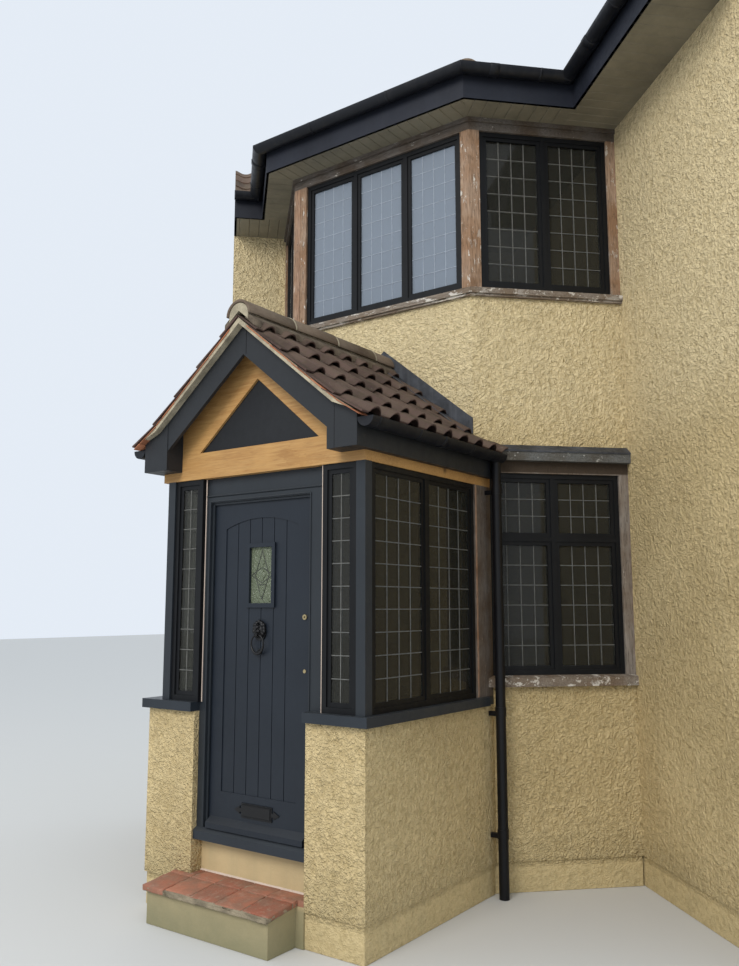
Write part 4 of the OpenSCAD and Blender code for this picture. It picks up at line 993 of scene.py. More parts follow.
PORCH_PITCH = math.radians(39)
PORCH_APEX = 3.7054
DECK_APEX = 3.6474
BARGE_UP = 0.021
FLARE_X = 0.752
FOOT_X = 0.677
EAVES_X = 0.899
FOOT_Z = 2.8
ROOF_HALF = 0.962
FLARE_LIFT = 0.034
PORCH_FRONT = -1.612
BARGE_FRONT = -1.555
ROLLS_FROM = 0.11
RIDGE_Z = 3.7194
RIDGE_R = 0.102
BAY_PITCH = math.radians(29)
HOUSE_PITCH = math.radians(38.7)
BAY_EDGE = (0.3, 5.8328)
HOUSE_EDGE = (0.47, 5.823)
HIP_R = 0.115
HIP_START = 0.3
HIP_SINK = 0.08
DECK_DROP = 0.072
TILE_SINK = 0.018
TONE = "tile_tone"
TILE_WIDE = 1.14
TILE_WANDER = 0.006
TILE_TILT = 1.4
PORCH_COURSES = 5
RIDGE_THICK = 0.018
RIDGE_BACK = 2.8935
BED_STEPS = 40
BED_FROM = 0.05
BED_REACH = 0.132
BED_SWAY = 0.012
BED_THICK = 0.05
VERGE_FROM = 0.075
VERGE_TO = 0.955
SLIP = 0.14
WALL_GAP = 0.008
# Steps of the even spreads by which tiles differ
FIRST = 0.618
SECOND = 0.754
THIRD = 0.414


def shade(index, step=FIRST):
    """A repeatable, even spread of values from 0 to 1."""
    return (index * step + 0.37) % 1.0


def toned(piece, value):
    """Stores one tile's tone on its points."""
    mesh = piece.data
    layer = mesh.attributes.get(TONE) or mesh.attributes.new(TONE, "FLOAT", "POINT")
    layer.data.foreach_set("value", [value] * len(mesh.vertices))
    return piece


def wave_swell(share):
    """The swell of a pantile at a share of its cover: a smooth wave."""
    return (0.5 + 0.5 * math.cos(math.tau * share)) ** 1.35


def roll_swell(share):
    """The swell of a roll tile at a share of its cover: a round roll beside a wide pan."""
    reach = abs((share + 0.5) % 1.0 - 0.5) / 0.27
    return math.cos(math.pi / 2 * min(1.0, reach)) ** 0.62 if reach < 1.0 else 0.0


def pantile(settings, roll, swell, steps, head=1.0):
    """One pantile: across on X, its tail at y = 0, its head up the slope at -y, face up."""
    top = []
    for step in range(steps + 1):
        share = TILE_WIDE * step / steps
        top.append((settings.cover * share, roll * swell(share)))
    points = [(x, 0, z + settings.thick) for x, z in top]
    points += [(x, 0, z) for x, z in reversed(top)]
    tile = drawn("pantile", points, (0, -settings.gauge - settings.lap, 0))
    for vertex in tile.data.vertices:
        if vertex.co.y < -SMALL:
            vertex.co.z *= head
    return eased(tile, 0.0025, lambda one, two: abs(one.y) < SMALL and abs(two.y) < SMALL)


def axes(across, along, up):
    """The matrix that turns X, Y and Z to three directions."""
    return Matrix((across, along, up)).transposed().to_4x4()


def slope_place(tail, head, across):
    """The matrix that lays a tile from its tail point to its head point."""
    down = (tail - head).normalized()
    return Matrix.Translation(tail) @ axes(across, down, across.cross(down).normalized())


def course_tiles(tile, settings, low, high, across, count, seed):
    """One course of tiles from a low point, its heads towards a high point."""
    normal = slope_place(low, high, across).to_3x3() @ Vector((0, 0, 1))
    head = low + (high - low).normalized() * (settings.gauge + settings.lap)
    lay = slope_place(low + normal * settings.lift, head, across)
    tiles = []
    for index in range(count):
        number = seed * 31 + index
        wander = (shade(number) - 0.5) * TILE_WANDER
        tilt = turn((shade(number, SECOND) - 0.5) * TILE_TILT)
        place = lay @ at(index * settings.cover, wander, 0) @ tilt
        tiles.append(toned(copy_at(tile, place), shade(number, THIRD)))
    return tiles


def porch_under(x):
    """Height of the porch roof's underside of tiles at a distance from its centre line."""
    flare = FLARE_LIFT * max(0.0, x - FLARE_X) / (ROOF_HALF - FLARE_X)
    return PORCH_APEX - math.tan(PORCH_PITCH) * x + flare


def half_round(name, length, radius, thick, slots=14):
    """A half-round tile along Y from 0, open below, its edges eased."""
    angles = [math.pi * step / slots for step in range(slots + 1)]
    points = [(radius * math.cos(angle), 0, radius * math.sin(angle)) for angle in angles]
    inner = radius - thick
    points += [(inner * math.cos(angle), 0, inner * math.sin(angle))
               for angle in reversed(angles)]
    return drawn(name, points, (0, length, 0), 0.003)


SIDES = (("right", at(ROOF_X)), ("left", at(ROOF_X) @ MIRROR))


def porch_slope(tile, settings, side, place):
    """One slope of the porch roof, laid outwards from its centre line and put in place."""
    going = settings.gauge * math.cos(PORCH_PITCH)
    corner = SPLAY_RIGHT - ROOF_X if side == "right" else ROOF_X - SPLAY_LEFT
    last = PORCH_COURSES - 1
    rows = []
    for course in range(PORCH_COURSES):
        x = ROOF_HALF - course * going
        low = Vector((x, ROLLS_FROM, porch_under(x)))
        high = Vector((x - going, ROLLS_FROM, porch_under(x - going)))
        tiles = course_tiles(tile, settings, low, high, Vector((0, -1, 0)), 9,
                             course + (7 if side == "left" else 0))
        row = cut(joined(tiles, "course"), (0, PORCH_FRONT, 0), (0, -1, 0))
        if course == 0:
            past_corner = copy_at(row, Matrix.Identity(4))
            cut(past_corner, (0, -WALL_GAP, 0), (0, -1, 0))
            rows.append(cut(past_corner, (corner, 0, 0), Vector((-COS45, COS45, 0))))
        cut(row, (0, -WALL_GAP, 0), (0, 1, 0))
        if course == last:
            cut(row, (0.004, 0, 0), (-1, 0, 0))
        rows.append(row)
    return moved(joined(rows, "porch_pantiles_" + side), place)


class BAY_OT_porch_tiles(bpy.types.Operator):
    """Lays the pantiles on both slopes of the porch roof"""
    bl_idname = "bay.porch_tiles"
    bl_label = "Porch Tiles"

    def execute(self, context):
        settings = context.scene.bay_roof
        tile = pantile(settings, settings.porch_roll, roll_swell, 22, 0.4)
        slopes = [porch_slope(tile, settings, side, place) for side, place in SIDES]
        bpy.data.objects.remove(tile, do_unlink=True)
        finish(joined(slopes, "porch_pantiles"), "house", "porch_tile",
               ("porch_tiles",))
        return {"FINISHED"}


def wavy(index):
    """A repeatable value from -1 to 1 for hand-laid edges."""
    return 2 * shade(index) - 1


class BAY_OT_porch_ridge(bpy.types.Operator):
    """Lays the porch's ridge tiles, their mortar bedding and the rings at their joints"""
    bl_idname = "bay.porch_ridge"
    bl_label = "Porch Ridge"

    def execute(self, context):
        settings = context.scene.bay_roof
        fronts = [PORCH_FRONT + index * settings.length
                  for index in range(math.ceil(-PORCH_FRONT / settings.length))]
        ridge = half_round("ridge", settings.length - settings.joint, RIDGE_R, RIDGE_THICK)
        tiles = copies(ridge, [at(ROOF_X, front, RIDGE_Z) @ turn(wavy(index) * 0.5, "X")
                               for index, front in enumerate(fronts)])
        for index, tile in enumerate(tiles):
            cut(toned(tile, shade(index, THIRD)), (0, -WALL_GAP, 0), (0, 1, 0))
        ring = half_round("ridge_joint", settings.joint + 0.006, RIDGE_R + 0.003, 0.024)
        rings = copies(ring, [at(ROOF_X, front - settings.joint - 0.003, RIDGE_Z)
                              for front in fronts[1:]])
        finish(joined(tiles, "porch_ridge"), "house", "ridge", ("ridge_tiles",), 50)
        finish(joined(rings, "porch_ridge_joints"), "house", "mortar", angle=50)
        front = PORCH_FRONT + BED_SWAY
        lean = Matrix(((1, 0, 0, 0), (0, 1, 0, 0),
                       (-math.tan(PORCH_PITCH), 0, 1, PORCH_APEX + 0.028), (0, 0, 0, 1)))
        beds = []
        for number, (side, place) in enumerate(SIDES):
            edge = [(BED_REACH + BED_SWAY * wavy(step + 50 * number),
                     front + (-WALL_GAP - front) * step / BED_STEPS, 0)
                    for step in range(BED_STEPS + 1)]
            points = [(BED_FROM, edge[0][1], 0)] + edge + [(BED_FROM, edge[-1][1], 0)]
            bed = drawn("ridge_bedding", points, (0, 0, BED_THICK), 0.006)
            beds.append(moved(bed, place @ lean))
        finish(joined(beds, "porch_ridge_bedding"), "house", "old_mortar")
        return {"FINISHED"}


class BAY_OT_verges(bpy.types.Operator):
    """Lays the broken clay undercloak that shows along both verges"""
    bl_idname = "bay.verges"
    bl_label = "Verge Undercloak"

    def execute(self, context):
        strips = []
        for side, place in SIDES:
            number = 11 if side == "left" else 0
            x0 = VERGE_FROM
            while x0 < VERGE_TO - 0.015:
                number += 1
                x1 = min(x0 + SLIP + 0.05 * shade(number), VERGE_TO)
                lift = 0.001 + 0.004 * shade(number, THIRD)
                thick = 0.008 + 0.006 * shade(number, SECOND)
                low = porch_under(x0) - lift - thick
                far = porch_under(x1) - lift * 0.4 - thick * 0.8
                points = [(x0, 0, low), (x1, 0, far), (x1, 0, far + thick * 0.7),
                          (x0, 0, low + thick)]
                strip = drawn("undercloak", points, (0, 0.1, 0), 0.002)
                out = PORCH_FRONT - HAIR + 0.005 * shade(number, SECOND)
                strips.append(toned(moved(strip, place @ at(0, out, 0)), shade(number)))
                x0 = x1 + 0.004
        finish(joined(strips, "undercloak"), "house", "undercloak")
        return {"FINISHED"}


def plane_courses(tile, settings, wall, edge, pitch, x_from, x_to, y_to, seed):
    """Courses of pantiles over one plane of the bay's roof, in its wall's frame."""
    over, z = edge
    going = settings.gauge * math.cos(pitch)
    rise = settings.gauge * math.sin(pitch)
    drop = (settings.roll + settings.thick + settings.lift + TILE_SINK) / math.cos(pitch)
    count = math.ceil((x_to - x_from) / settings.cover)
    rows = []
    for course in range(math.ceil((y_to + over) / going)):
        low = Vector((x_to, course * going - over, z - drop + course * rise))
        high = low + Vector((0, going, rise))
        rows += course_tiles(tile, settings, low, high, Vector((-1, 0, 0)), count, seed + course)
    return moved(joined(rows, "bay_pantiles_" + wall), WALLS[wall])


VALLEY = Vector((math.tan(BAY_PITCH), math.tan(HOUSE_PITCH), 0)).normalized()


class BAY_OT_bay_tiles(bpy.types.Operator):
    """Lays pantiles on every plane of the bay's roof and half-rounds on its hips"""
    bl_idname = "bay.bay_tiles"
    bl_label = "Bay Roof"

    def execute(self, context):
        settings = context.scene.bay_roof
        tile = pantile(settings, settings.roll, wave_swell, 12)
        length = SPLAY_RIGHT - SPLAY_LEFT
        splay = plane_courses(tile, settings, "splay", BAY_EDGE, BAY_PITCH, -0.2, 1.9, 2.1, 3)
        cut_in(splay, WALLS["splay"], (0, 0, 0), MITRE_LEFT)
        cut_in(splay, WALLS["splay"], (length, 0, 0), MITRE_RIGHT)
        planes = [splay]
        for wall, stub_wall, facet, stub, side, seed in (
                ("right", "wing", FACET_RIGHT, STUB_RIGHT, -1, 17),
                ("left", "house", FACET_LEFT, STUB_LEFT, 1, 23)):
            matrix = WALLS[wall]
            corner = (facet - HOUSE_EDGE[0]
                      + (BAY_EDGE[1] - HOUSE_EDGE[1]) / math.tan(HOUSE_PITCH), -BAY_EDGE[0], 0)
            slope = plane_courses(tile, settings, wall, BAY_EDGE, BAY_PITCH, -0.2, facet + WALL,
                                  2.75, seed)
            cut_in(slope, matrix, (0, 0, 0), MITRE_LEFT)
            cut_in(slope, matrix, corner, (VALLEY.y, -VALLEY.x, 0))
            cut_in(slope, matrix, (facet + WALL, 0, 0), (1, 0, 0))
            planes.append(cut(slope, (MIDDLE_X, 0, 0), (side, 0, 0)))
            slope = plane_courses(tile, settings, stub_wall, HOUSE_EDGE, HOUSE_PITCH, -0.9, stub,
                                  WALL + 0.01, seed + 14)
            cut_in(slope, matrix, corner, (-VALLEY.y, VALLEY.x, 0))
            cut_in(slope, matrix, (facet + WALL, 0, 0), (1, 0, 0))
            planes.append(cut_in(slope, WALLS[stub_wall], (stub, 0, 0), (1, 0, 0)))
        bpy.data.objects.remove(tile, do_unlink=True)
        finish(joined(planes, "bay_pantiles"), "house", "bay_tile", ("roof_tiles",))
        finish(bay_deck(), "house", "deck", angle=0)
        finish(bay_hips(settings), "house", "ridge", ("hip_tiles",), 50)
        return {"FINISHED"}


def bay_deck():
    """The boards under the bay's tiles: the roof's solid with its upper faces lowered."""
    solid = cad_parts["roof_tiles"]
    deck = copy_at(solid, solid.matrix_world)
    deck.name = "bay_deck"
    whole(deck)
    bpy.ops.mesh.remove_doubles(threshold=0.0001)
    done()
    mark(edit(deck).polygons, lambda face: face.normal.z > 0.5)
    bpy.ops.object.mode_set(mode="EDIT")
    bpy.ops.transform.translate(value=(0, 0, -DECK_DROP))
    done()
    return deck


def bay_hips(settings):
    """Half-round tiles up both hips and along the short ridge behind them."""
    reach = (SPLAY_RIGHT - SPLAY_LEFT) / (2 * HALF_TURN)
    edge, z = BAY_EDGE
    slope = math.tan(BAY_PITCH)
    top = Vector((MIDDLE_X, reach, z + slope * (reach + edge)))
    back = Vector((MIDDLE_X, RIDGE_BACK, top.z + slope * COS45 * (RIDGE_BACK - reach)))
    runs = []
    for foot in (Vector((SPLAY_LEFT - edge * HALF_TURN, -edge, z)),
                 Vector((SPLAY_RIGHT + edge * HALF_TURN, -edge, z))):
        runs.append((foot + (top - foot).normalized() * HIP_START, top, HIP_R, 22.5))
    runs.append((top, back, 0, 45))
    tiles = []
    for number, (start, end, trim, angle) in enumerate(runs):
        length = (end - start).length - trim
        line = (end - start).normalized()
        count = max(1, round(length / settings.length))
        across = line.cross(Vector((0, 0, 1))).normalized()
        lay = axes(across, line, across.cross(line).normalized()) @ turn(0.9, "X")
        sink = Vector((0, 0, HIP_SINK + slope * HIP_R * math.sin(math.radians(angle))))
        tile = half_round("hip", length / count + 0.03, HIP_R, RIDGE_THICK)
        twins = copies(tile, [Matrix.Translation(start + line * (index * length / count) - sink)
                              @ lay for index in range(count)])
        tiles += [toned(twin, shade(index + number)) for index, twin in enumerate(twins)]
    return joined(tiles, "bay_hip_tiles")


# Entrance step
class BayStepSettings(bpy.types.PropertyGroup):
    """Sizes of the entrance step's quarry tiles"""
    joint: bpy.props.FloatProperty(name="Joint", unit="LENGTH", default=0.006,
                                   description="Width of the joints between quarry tiles")
    worn: bpy.props.FloatProperty(name="Worn Edge", unit="LENGTH", default=0.012,
                                  description="How far the front tiles' broken edge stands back")


RISER_Y = -1.327
STEP_BACK_Z = 0.258
STEP_NOSE = -1.681
STEP_THICK = 0.035
STEP_FALL = 0.03 / (1.681 - 1.42)
STEP_LEFT = -0.5995
STEP_RIGHT = 0.4175
GAP_HALF = 0.462
ROW_Y = -1.462
STEP_JOINTS = (-0.412, -0.2, 0.008, 0.217)
RISER_FILLET = ((0, -0.004), (0.009, -0.004), (0.005, 0.004), (0, 0.008))


def sloped(piece):
    """Lays a piece that was made level at z = 0 on the step, whose front falls away."""
    for vertex in piece.data.vertices:
        out = max(0.0, -PORCH_DEPTH - vertex.co.y)
        vertex.co.z += STEP_BACK_Z - STEP_FALL * out
    return piece


def roughened(piece, size, depth, seed, levels=3):
    """Breaks up a piece's faces with small repeatable bumps."""
    whole(piece)
    bpy.ops.mesh.subdivide(number_cuts=levels)
    done()
    for index, vertex in enumerate(piece.data.vertices):
        place = Vector(vertex.co) / size + Vector((seed, seed * 0.7, 0))
        vertex.co += vertex.normal * depth * noise.noise(place)
    return piece


def quarry_tile(x0, x1, y0, y1, top, soft=0.003):
    """One tile of the step, made level at z = 0."""
    return block("quarry_tile", (x0, y0, -STEP_THICK + HAIR), (x1, y1, top), soft, 2)


class BAY_OT_step(bpy.types.Operator):
    """Lays the quarry tiles and their mortar on the entrance step"""
    bl_idname = "bay.step"
    bl_label = "Step Tiles"

    def execute(self, context):
        settings = context.scene.bay_step
        gap = settings.joint / 2
        tiles = []
        front = (STEP_LEFT,) + STEP_JOINTS + (STEP_RIGHT,)
        back = (-GAP_HALF,) + STEP_JOINTS + (GAP_HALF,)
        last = len(STEP_JOINTS)
        for index in range(last + 1):
            worn = settings.worn * (0.75 + 0.5 * shade(index)) if index else 0.0
            tile = quarry_tile(front[index] + (gap if index else 0),
                               front[index + 1] - (gap if index < last else 0),
                               STEP_NOSE + worn, ROW_Y - gap, -0.001 * shade(index, SECOND),
                               0.0)
            modified(tile, "BEVEL", width=0.004 + 0.003 * shade(index), segments=2)
            roughened(tile, 0.05, 0.004, index)
            tiles.append(toned(sloped(tile), shade(index, THIRD)))
            tile = quarry_tile(back[index] + (gap if index else HAIR),
                               back[index + 1] - (gap if index < last else HAIR),
                               ROW_Y + gap, RISER_Y - HAIR, -0.001 * shade(index))
            if index in (0, last):
                cut(tile, (0, -PORCH_DEPTH - 0.0005, 0), (0, -1, 0))
            tiles.append(toned(sloped(tile), shade(index + 7, THIRD)))
        for x0, x1, number in ((STEP_LEFT, STEP_JOINTS[0] - gap, 3),
                               (STEP_JOINTS[-1] + gap, STEP_RIGHT, 5)):
            tile = quarry_tile(x0, x1, ROW_Y + gap, -PORCH_DEPTH - 0.0006, -0.0005)
            tiles.append(toned(sloped(tile), shade(number, THIRD)))
        finish(joined(tiles, "quarry_tiles"), "house", "clay", ("step_tiles",), 50)
        bed = block("bed", (STEP_LEFT + 0.004, STEP_NOSE + HAIR, -STEP_THICK),
                    (STEP_RIGHT - HAIR, -PORCH_DEPTH - HAIR, -0.006))
        modified(bed, "BEVEL", width=0.006, segments=2)
        inner = block("bed", (-GAP_HALF + HAIR, -PORCH_DEPTH, -STEP_THICK),
                      (GAP_HALF - HAIR, RISER_Y - HAIR, -0.004), 0.001)
        roughened(bed, 0.03, 0.005, seed=3.3, levels=20)
        points = [(-GAP_HALF, RISER_Y - out, z) for out, z in RISER_FILLET]
        fillet = drawn("riser_fillet", points, (2 * GAP_HALF, 0, 0))
        roughened(fillet, 0.02, 0.002, seed=1.7, levels=16)
        finish(sloped(fillet), "house", "sealant", angle=50)
        finish(joined([sloped(bed), sloped(inner)], "step_mortar"), "house", "joint",
               angle=50)
        return {"FINISHED"}


# Porch joinery and sealant
def bar(name, start, end, width, proud, y):
    """A flat bar between two (x, z) points, standing off the plane at y, its edges eased."""
    first = Vector((start[0], y, start[1]))
    last = Vector((end[0], y, end[1]))
    line = (last - first).normalized()
    across = Vector((-line.z, 0, line.x)) * width / 2
    points = [first + across, first - across, last - across, last + across]
    return drawn(name, points, (0, -proud, 0), min(proud, width) * 0.3)


JAMB_Z = (1.298, 2.738)
DOOR_FRAME_FRONT = -1.378
LEAF_TOP = 2.574
LEG_IN = 0.4225
LEG_OUT = 0.5025
MOULDING_FOOT = 0.535
MOULDING_SET = 0.006
PLATE_X = 0.737
# Sealant beads: width, front, how far past the frame, side
BEADS = ((0.0055, -1.41, 0.0058, Matrix.Identity(4)), (0.005, -1.385, 0.001, MIRROR))
# Near-black strips on the bargeboards, painted as the shadow in their joints: x, foot, top, width,
# height
BARGE_JOINT_SHADOWS = ((0.059, 3.475, DECK_APEX + BARGE_UP - 0.022, 0.004, 0.0012),
                (0.768, FOOT_Z + 0.002, 3.07, 0.005, 0.0015))
# Raw timber strips: wall, lowest and highest corner in its frame, eased edge
RAW_STRIPS = (("splay", (0.004, -0.012, 4.23), (0.062, -0.004, 5.452), 0.002),
              ("porch_right", (-0.138, -0.003, 1.3), (-0.118, 0.003, 2.738), 0.0015))


class BAY_OT_sealant(bpy.types.Operator):
    """Runs a bead of sealant up each side of the door frame"""
    bl_idname = "bay.sealant"
    bl_label = "Sealant"

    def execute(self, context):
        beads = []
        back = DOOR_FRAME_FRONT + HAIR
        for width, front, past, place in BEADS:
            out = LEG_OUT + past
            outline = ((out - width, back), (out - width, front + 0.003),
                       (out - width / 2, front), (out, front + 0.002), (out, back))
            bead = drawn("bead", [(x, y, JAMB_Z[0]) for x, y in outline],
                         (0, 0, JAMB_Z[1] - JAMB_Z[0]))
            beads.append(moved(bead, at(FRAME_SHIFT) @ place))
        finish(joined(beads, "sealant_beads"), "house", "sealant")
        return {"FINISHED"}


class BAY_OT_door_mouldings(bpy.types.Operator):
    """Plants the thin mouldings on the door frame and over its head"""
    bl_idname = "bay.door_mouldings"
    bl_label = "Door Mouldings"

    def execute(self, context):
        left = DOOR_X - LEG_IN - MOULDING_SET
        right = DOOR_X + LEG_IN + MOULDING_SET
        head = LEAF_TOP + 0.014
        drip = head + 0.036
        strips = [bar("moulding", start, end, width, proud, DOOR_FRAME_FRONT)
                  for start, end, width, proud in (
                      ((left, MOULDING_FOOT), (left, head), 0.009, 0.006),
                      ((right, MOULDING_FOOT), (right, head), 0.009, 0.006),
                      ((left, head), (right, head), 0.009, 0.006),
                      ((left - 0.024, 1.3), (left - 0.024, head + 0.04), 0.005, 0.004),
                      ((FRAME_SHIFT - LEG_OUT, drip), (FRAME_SHIFT + LEG_OUT, drip), 0.008,
                       0.005))]
        finish(joined(strips, "door_mouldings"), "house", "paint_z")
        return {"FINISHED"}


class BAY_OT_barge_plates(bpy.types.Operator):
    """Covers the bargeboards' feet and paints the shadow in their joints as near-black strips"""
    bl_idname = "bay.barge_plates"
    bl_label = "Bargeboard Plates"

    def execute(self, context):
        plates = []
        apex = DECK_APEX + BARGE_UP
        slope = math.tan(PORCH_PITCH)
        end = EAVES_X - HAIR
        for inner, (side, place) in zip((PLATE_X, FOOT_X), SIDES):
            outline = ((inner, FOOT_Z), (end, FOOT_Z), (end, porch_under(EAVES_X) - 0.002),
                       (FLARE_X, apex - slope * FLARE_X - 0.002),
                       (inner, apex - slope * inner - 0.002))
            plate = drawn("plate", [(x, 0, z) for x, z in outline], (0, -0.005, 0), 0.0012)
            plates.append(moved(plate, place @ at(0, BARGE_FRONT, 0)))
        finish(joined(plates, "bargeboard_plates"), "house", "barge")
        # Painted shadow: near-black strips along the joints between the boards
        lines = [bar("joint", (x, foot), (x, top), width, proud, BARGE_FRONT)
                 for x, foot, top, width, proud in BARGE_JOINT_SHADOWS]
        finish(joined(lines, "bargeboard_joint_shadows"), "house", "gap")
        return {"FINISHED"}


class BAY_OT_post_strips(bpy.types.Operator):
    """Fits the raw timber strips beside the window posts"""
    bl_idname = "bay.post_strips"
    bl_label = "Raw Timber Strips"

    def execute(self, context):
        strips = [moved(block("strip", low, high, soft), WALLS[wall])
                  for wall, low, high, soft in RAW_STRIPS]
        finish(joined(strips, "raw_strips"), "house", "raw_strip")
        return {"FINISHED"}


# Gutters
GUTTER_R = 0.06
GUTTER_Z = 5.761
GUTTER_OUT = 0.0612
PORCH_GUTTER_R = 0.056
PORCH_GUTTER_Z = 2.9584
PORCH_GUTTER_X = 0.9553
# Gutter fittings of the bay: wall, overhang, places of unions and of brackets
BAY_FITTINGS = (("splay", BAY_OVER, (), (0.45, 1.2)), ("right", BAY_OVER, (0.1,), (0.45,)),
                ("left", BAY_OVER, (0.1,), (0.5,)),
                ("wing", HOUSE_OVER, (0.75,), (0.35, 1.15, 1.6)),
                ("house", HOUSE_OVER, (), (0.3,)))
# and of the porch: length, thickness, places along its gutters
PORCH_FITTINGS = ((0.05, 0.004, (-0.75,)), (0.016, 0.003, (-1.48, -1.05, -0.4)))


def gutter_band(radius, length, thick, places):
    """Copies of a band that wraps a half-round gutter, each centred on its place along X."""
    band = half_round("band", length, radius + thick, thick + 0.002, 10)
    level = turn(-90) @ turn(180, "Y") @ at(0, -length / 2, 0)
    return copies(band, [place @ level for place in places])


class BAY_OT_gutter_fittings(bpy.types.Operator):
    """Adds the unions and brackets of all the gutters"""
    bl_idname = "bay.gutter_fittings"
    bl_label = "Gutter Fittings"

    def execute(self, context):
        unions = []
        brackets = []
        for wall, over, at_unions, at_brackets in BAY_FITTINGS:
            y = -over - GUTTER_OUT
            unions += [WALLS[wall] @ at(x, y, GUTTER_Z) for x in at_unions]
            brackets += [WALLS[wall] @ at(x, y, GUTTER_Z) for x in at_brackets]
        pieces = gutter_band(GUTTER_R, 0.07, 0.005, unions)
        pieces += gutter_band(GUTTER_R, 0.02, 0.004, brackets)
        for length, thick, places in PORCH_FITTINGS:
            spots = [place @ at(PORCH_GUTTER_X, y, PORCH_GUTTER_Z) @ turn(90)
                     for side, place in SIDES for y in places]
            pieces += gutter_band(PORCH_GUTTER_R, length, thick, spots)
        finish(joined(pieces, "gutter_fittings"), "house", "gutter", angle=50)
        return {"FINISHED"}


# Door furniture
class BayDoorSettings(bpy.types.PropertyGroup):
    """Sizes of the door's light and furniture"""
    lead: bpy.props.FloatProperty(name="Light Lead", unit="LENGTH", default=0.005,
                                  description="Width of the leads in the door's light")
    ring: bpy.props.FloatProperty(name="Ring Bar", unit="LENGTH", default=0.0045,
                                  description="Radius of the knocker ring at its top")


LIGHT_FACE = -1.334
LIGHT_Z = (1.924, 2.274)
# Half widths and half heights of the light's two diamonds, and of its bevels with their z
LIGHT_DIAMONDS = ((0.058, 0.155), (0.088, 0.05))
LIGHT_BEVELS = ((0.085, 0.022, 0.05), (-0.105, 0.018, 0.038), (0, 0.03, 0.038))
HEAD_Z = 1.758
RING_Y = -1.37
RING_TOP = 1.73
RING_R = 0.052
FLAP_Z = (0.702, 0.634)
FLAP_HALF = 0.118
HEAD_LUMPS = (
    (0, -0.016, 0.0, 0.033, 0.02, 0.034), (0, -0.034, 0.016, 0.02, 0.012, 0.014),
    (-0.013, -0.034, -0.006, 0.012, 0.012, 0.011), (0.013, -0.034, -0.006, 0.012, 0.012, 0.011),
    (0, -0.042, -0.008, 0.014, 0.013, 0.012), (0, -0.046, 0.006, 0.007, 0.009, 0.014),
    (0, -0.055, -0.002, 0.007, 0.005, 0.005), (0, -0.036, -0.022, 0.011, 0.01, 0.007),
    (-0.011, -0.043, 0.015, 0.008, 0.005, 0.004), (0.011, -0.043, 0.015, 0.008, 0.005, 0.004),
    (-0.026, -0.02, 0.03, 0.009, 0.009, 0.012), (0.026, -0.02, 0.03, 0.009, 0.009, 0.012),
)


def lion_head():
    """A plain animal head in a curled mane, grown together from rounded lumps."""
    lumps = [((DOOR_X + x, FIELD_Y + y, HEAD_Z + z), (a, b, c)) for x, y, z, a, b, c in HEAD_LUMPS]
    for step in range(14):
        angle = math.tau * (step + 0.5) / 14
        reach = 0.038 + 0.004 * (step % 2) + 0.006 * max(0.0, math.sin(angle) + 0.3)
        lumps.append(((DOOR_X + reach * math.cos(angle), FIELD_Y - 0.014,
                       HEAD_Z + 0.002 + reach * math.sin(angle)), (0.013, 0.013, 0.013)))
    pieces = []
    for place, radii in lumps:
        clear()
        bpy.ops.mesh.primitive_uv_sphere_add(segments=20, ring_count=12, radius=1,
                                             location=place, scale=radii)
        pieces.append(settle(bpy.context.object))
    head = joined(pieces, "knocker_head")
    head = modified(head, "REMESH", mode="VOXEL", voxel_size=0.0016)
    head = modified(head, "SMOOTH", factor=0.6, iterations=3)
    return cut(head, (0, FIELD_Y - 0.0005, 0), (0, 1, 0))


def knocker_loop(settings):
    """The knocker's ring: an oval loop, thin at its pin and thick at its foot."""
    clear()
    bpy.ops.mesh.primitive_torus_add(major_segments=48, minor_segments=12, major_radius=RING_R,
                                     minor_radius=settings.ring, rotation=(math.pi / 2, 0, 0))
    loop = settle(bpy.context.object)
    loop.name = "knocker_loop"
    for vertex in loop.data.vertices:
        flat = Vector((vertex.co.x, 0, vertex.co.z)).normalized()
        middle = flat * RING_R
        low = 0.5 - 0.5 * flat.z
        offset = (vertex.co - middle) * (1.0 + 1.1 * low ** 2)
        oval = Vector((middle.x * (1.0 - 0.08 * low), 0, RING_R - (RING_R - middle.z) * 1.12))
        vertex.co = oval + offset
    loop.data.transform(at(DOOR_X, RING_Y, RING_TOP - RING_R))
    return loop


class BAY_OT_knocker(bpy.types.Operator):
    """Models the door knocker: an animal head holding a ring"""
    bl_idname = "bay.knocker"
    bl_label = "Knocker"

    def execute(self, context):
        settings = context.scene.bay_door
        finish(lion_head(), "door", "iron", angle=60)
        finish(knocker_loop(settings), "knocker", "iron", ("knocker_ring",), 60)
        return {"FINISHED"}


class BAY_OT_door_light(bpy.types.Operator):
    """Leads the door's small light: a tall diamond laced with a wide one"""
    bl_idname = "bay.door_light"
    bl_label = "Door Light"

    def execute(self, context):
        settings = context.scene.bay_door
        middle = (LIGHT_Z[0] + LIGHT_Z[1]) / 2
        lines = []
        for half, tall in LIGHT_DIAMONDS:
            shape = ((0, tall), (half, 0), (0, -tall), (-half, 0))
            lines += zip(shape, shape[1:] + shape[:1])
        lines.append(((-0.03, -0.06), (0.03, -0.06)))
        leads = [bar("light_lead", (DOOR_X + x0, middle + z0), (DOOR_X + x1, middle + z1),
                     settings.lead, 0.003, LIGHT_FACE) for (x0, z0), (x1, z1) in lines]
        finish(joined(leads, "door_light_leads"), "door", "dark_came")
        bevels = []
        for z, half, tall in LIGHT_BEVELS:
            points = [(DOOR_X + x, LIGHT_FACE, middle + z + up)
                      for x, up in ((0, tall), (half, 0), (0, -tall), (-half, 0))]
            bevels.append(drawn("bevel", points, (0, -0.004, 0), 0.0035))
        finish(joined(bevels, "door_light_bevels"), "door", "bevelled_glass",
               angle=0)
        return {"FINISHED"}


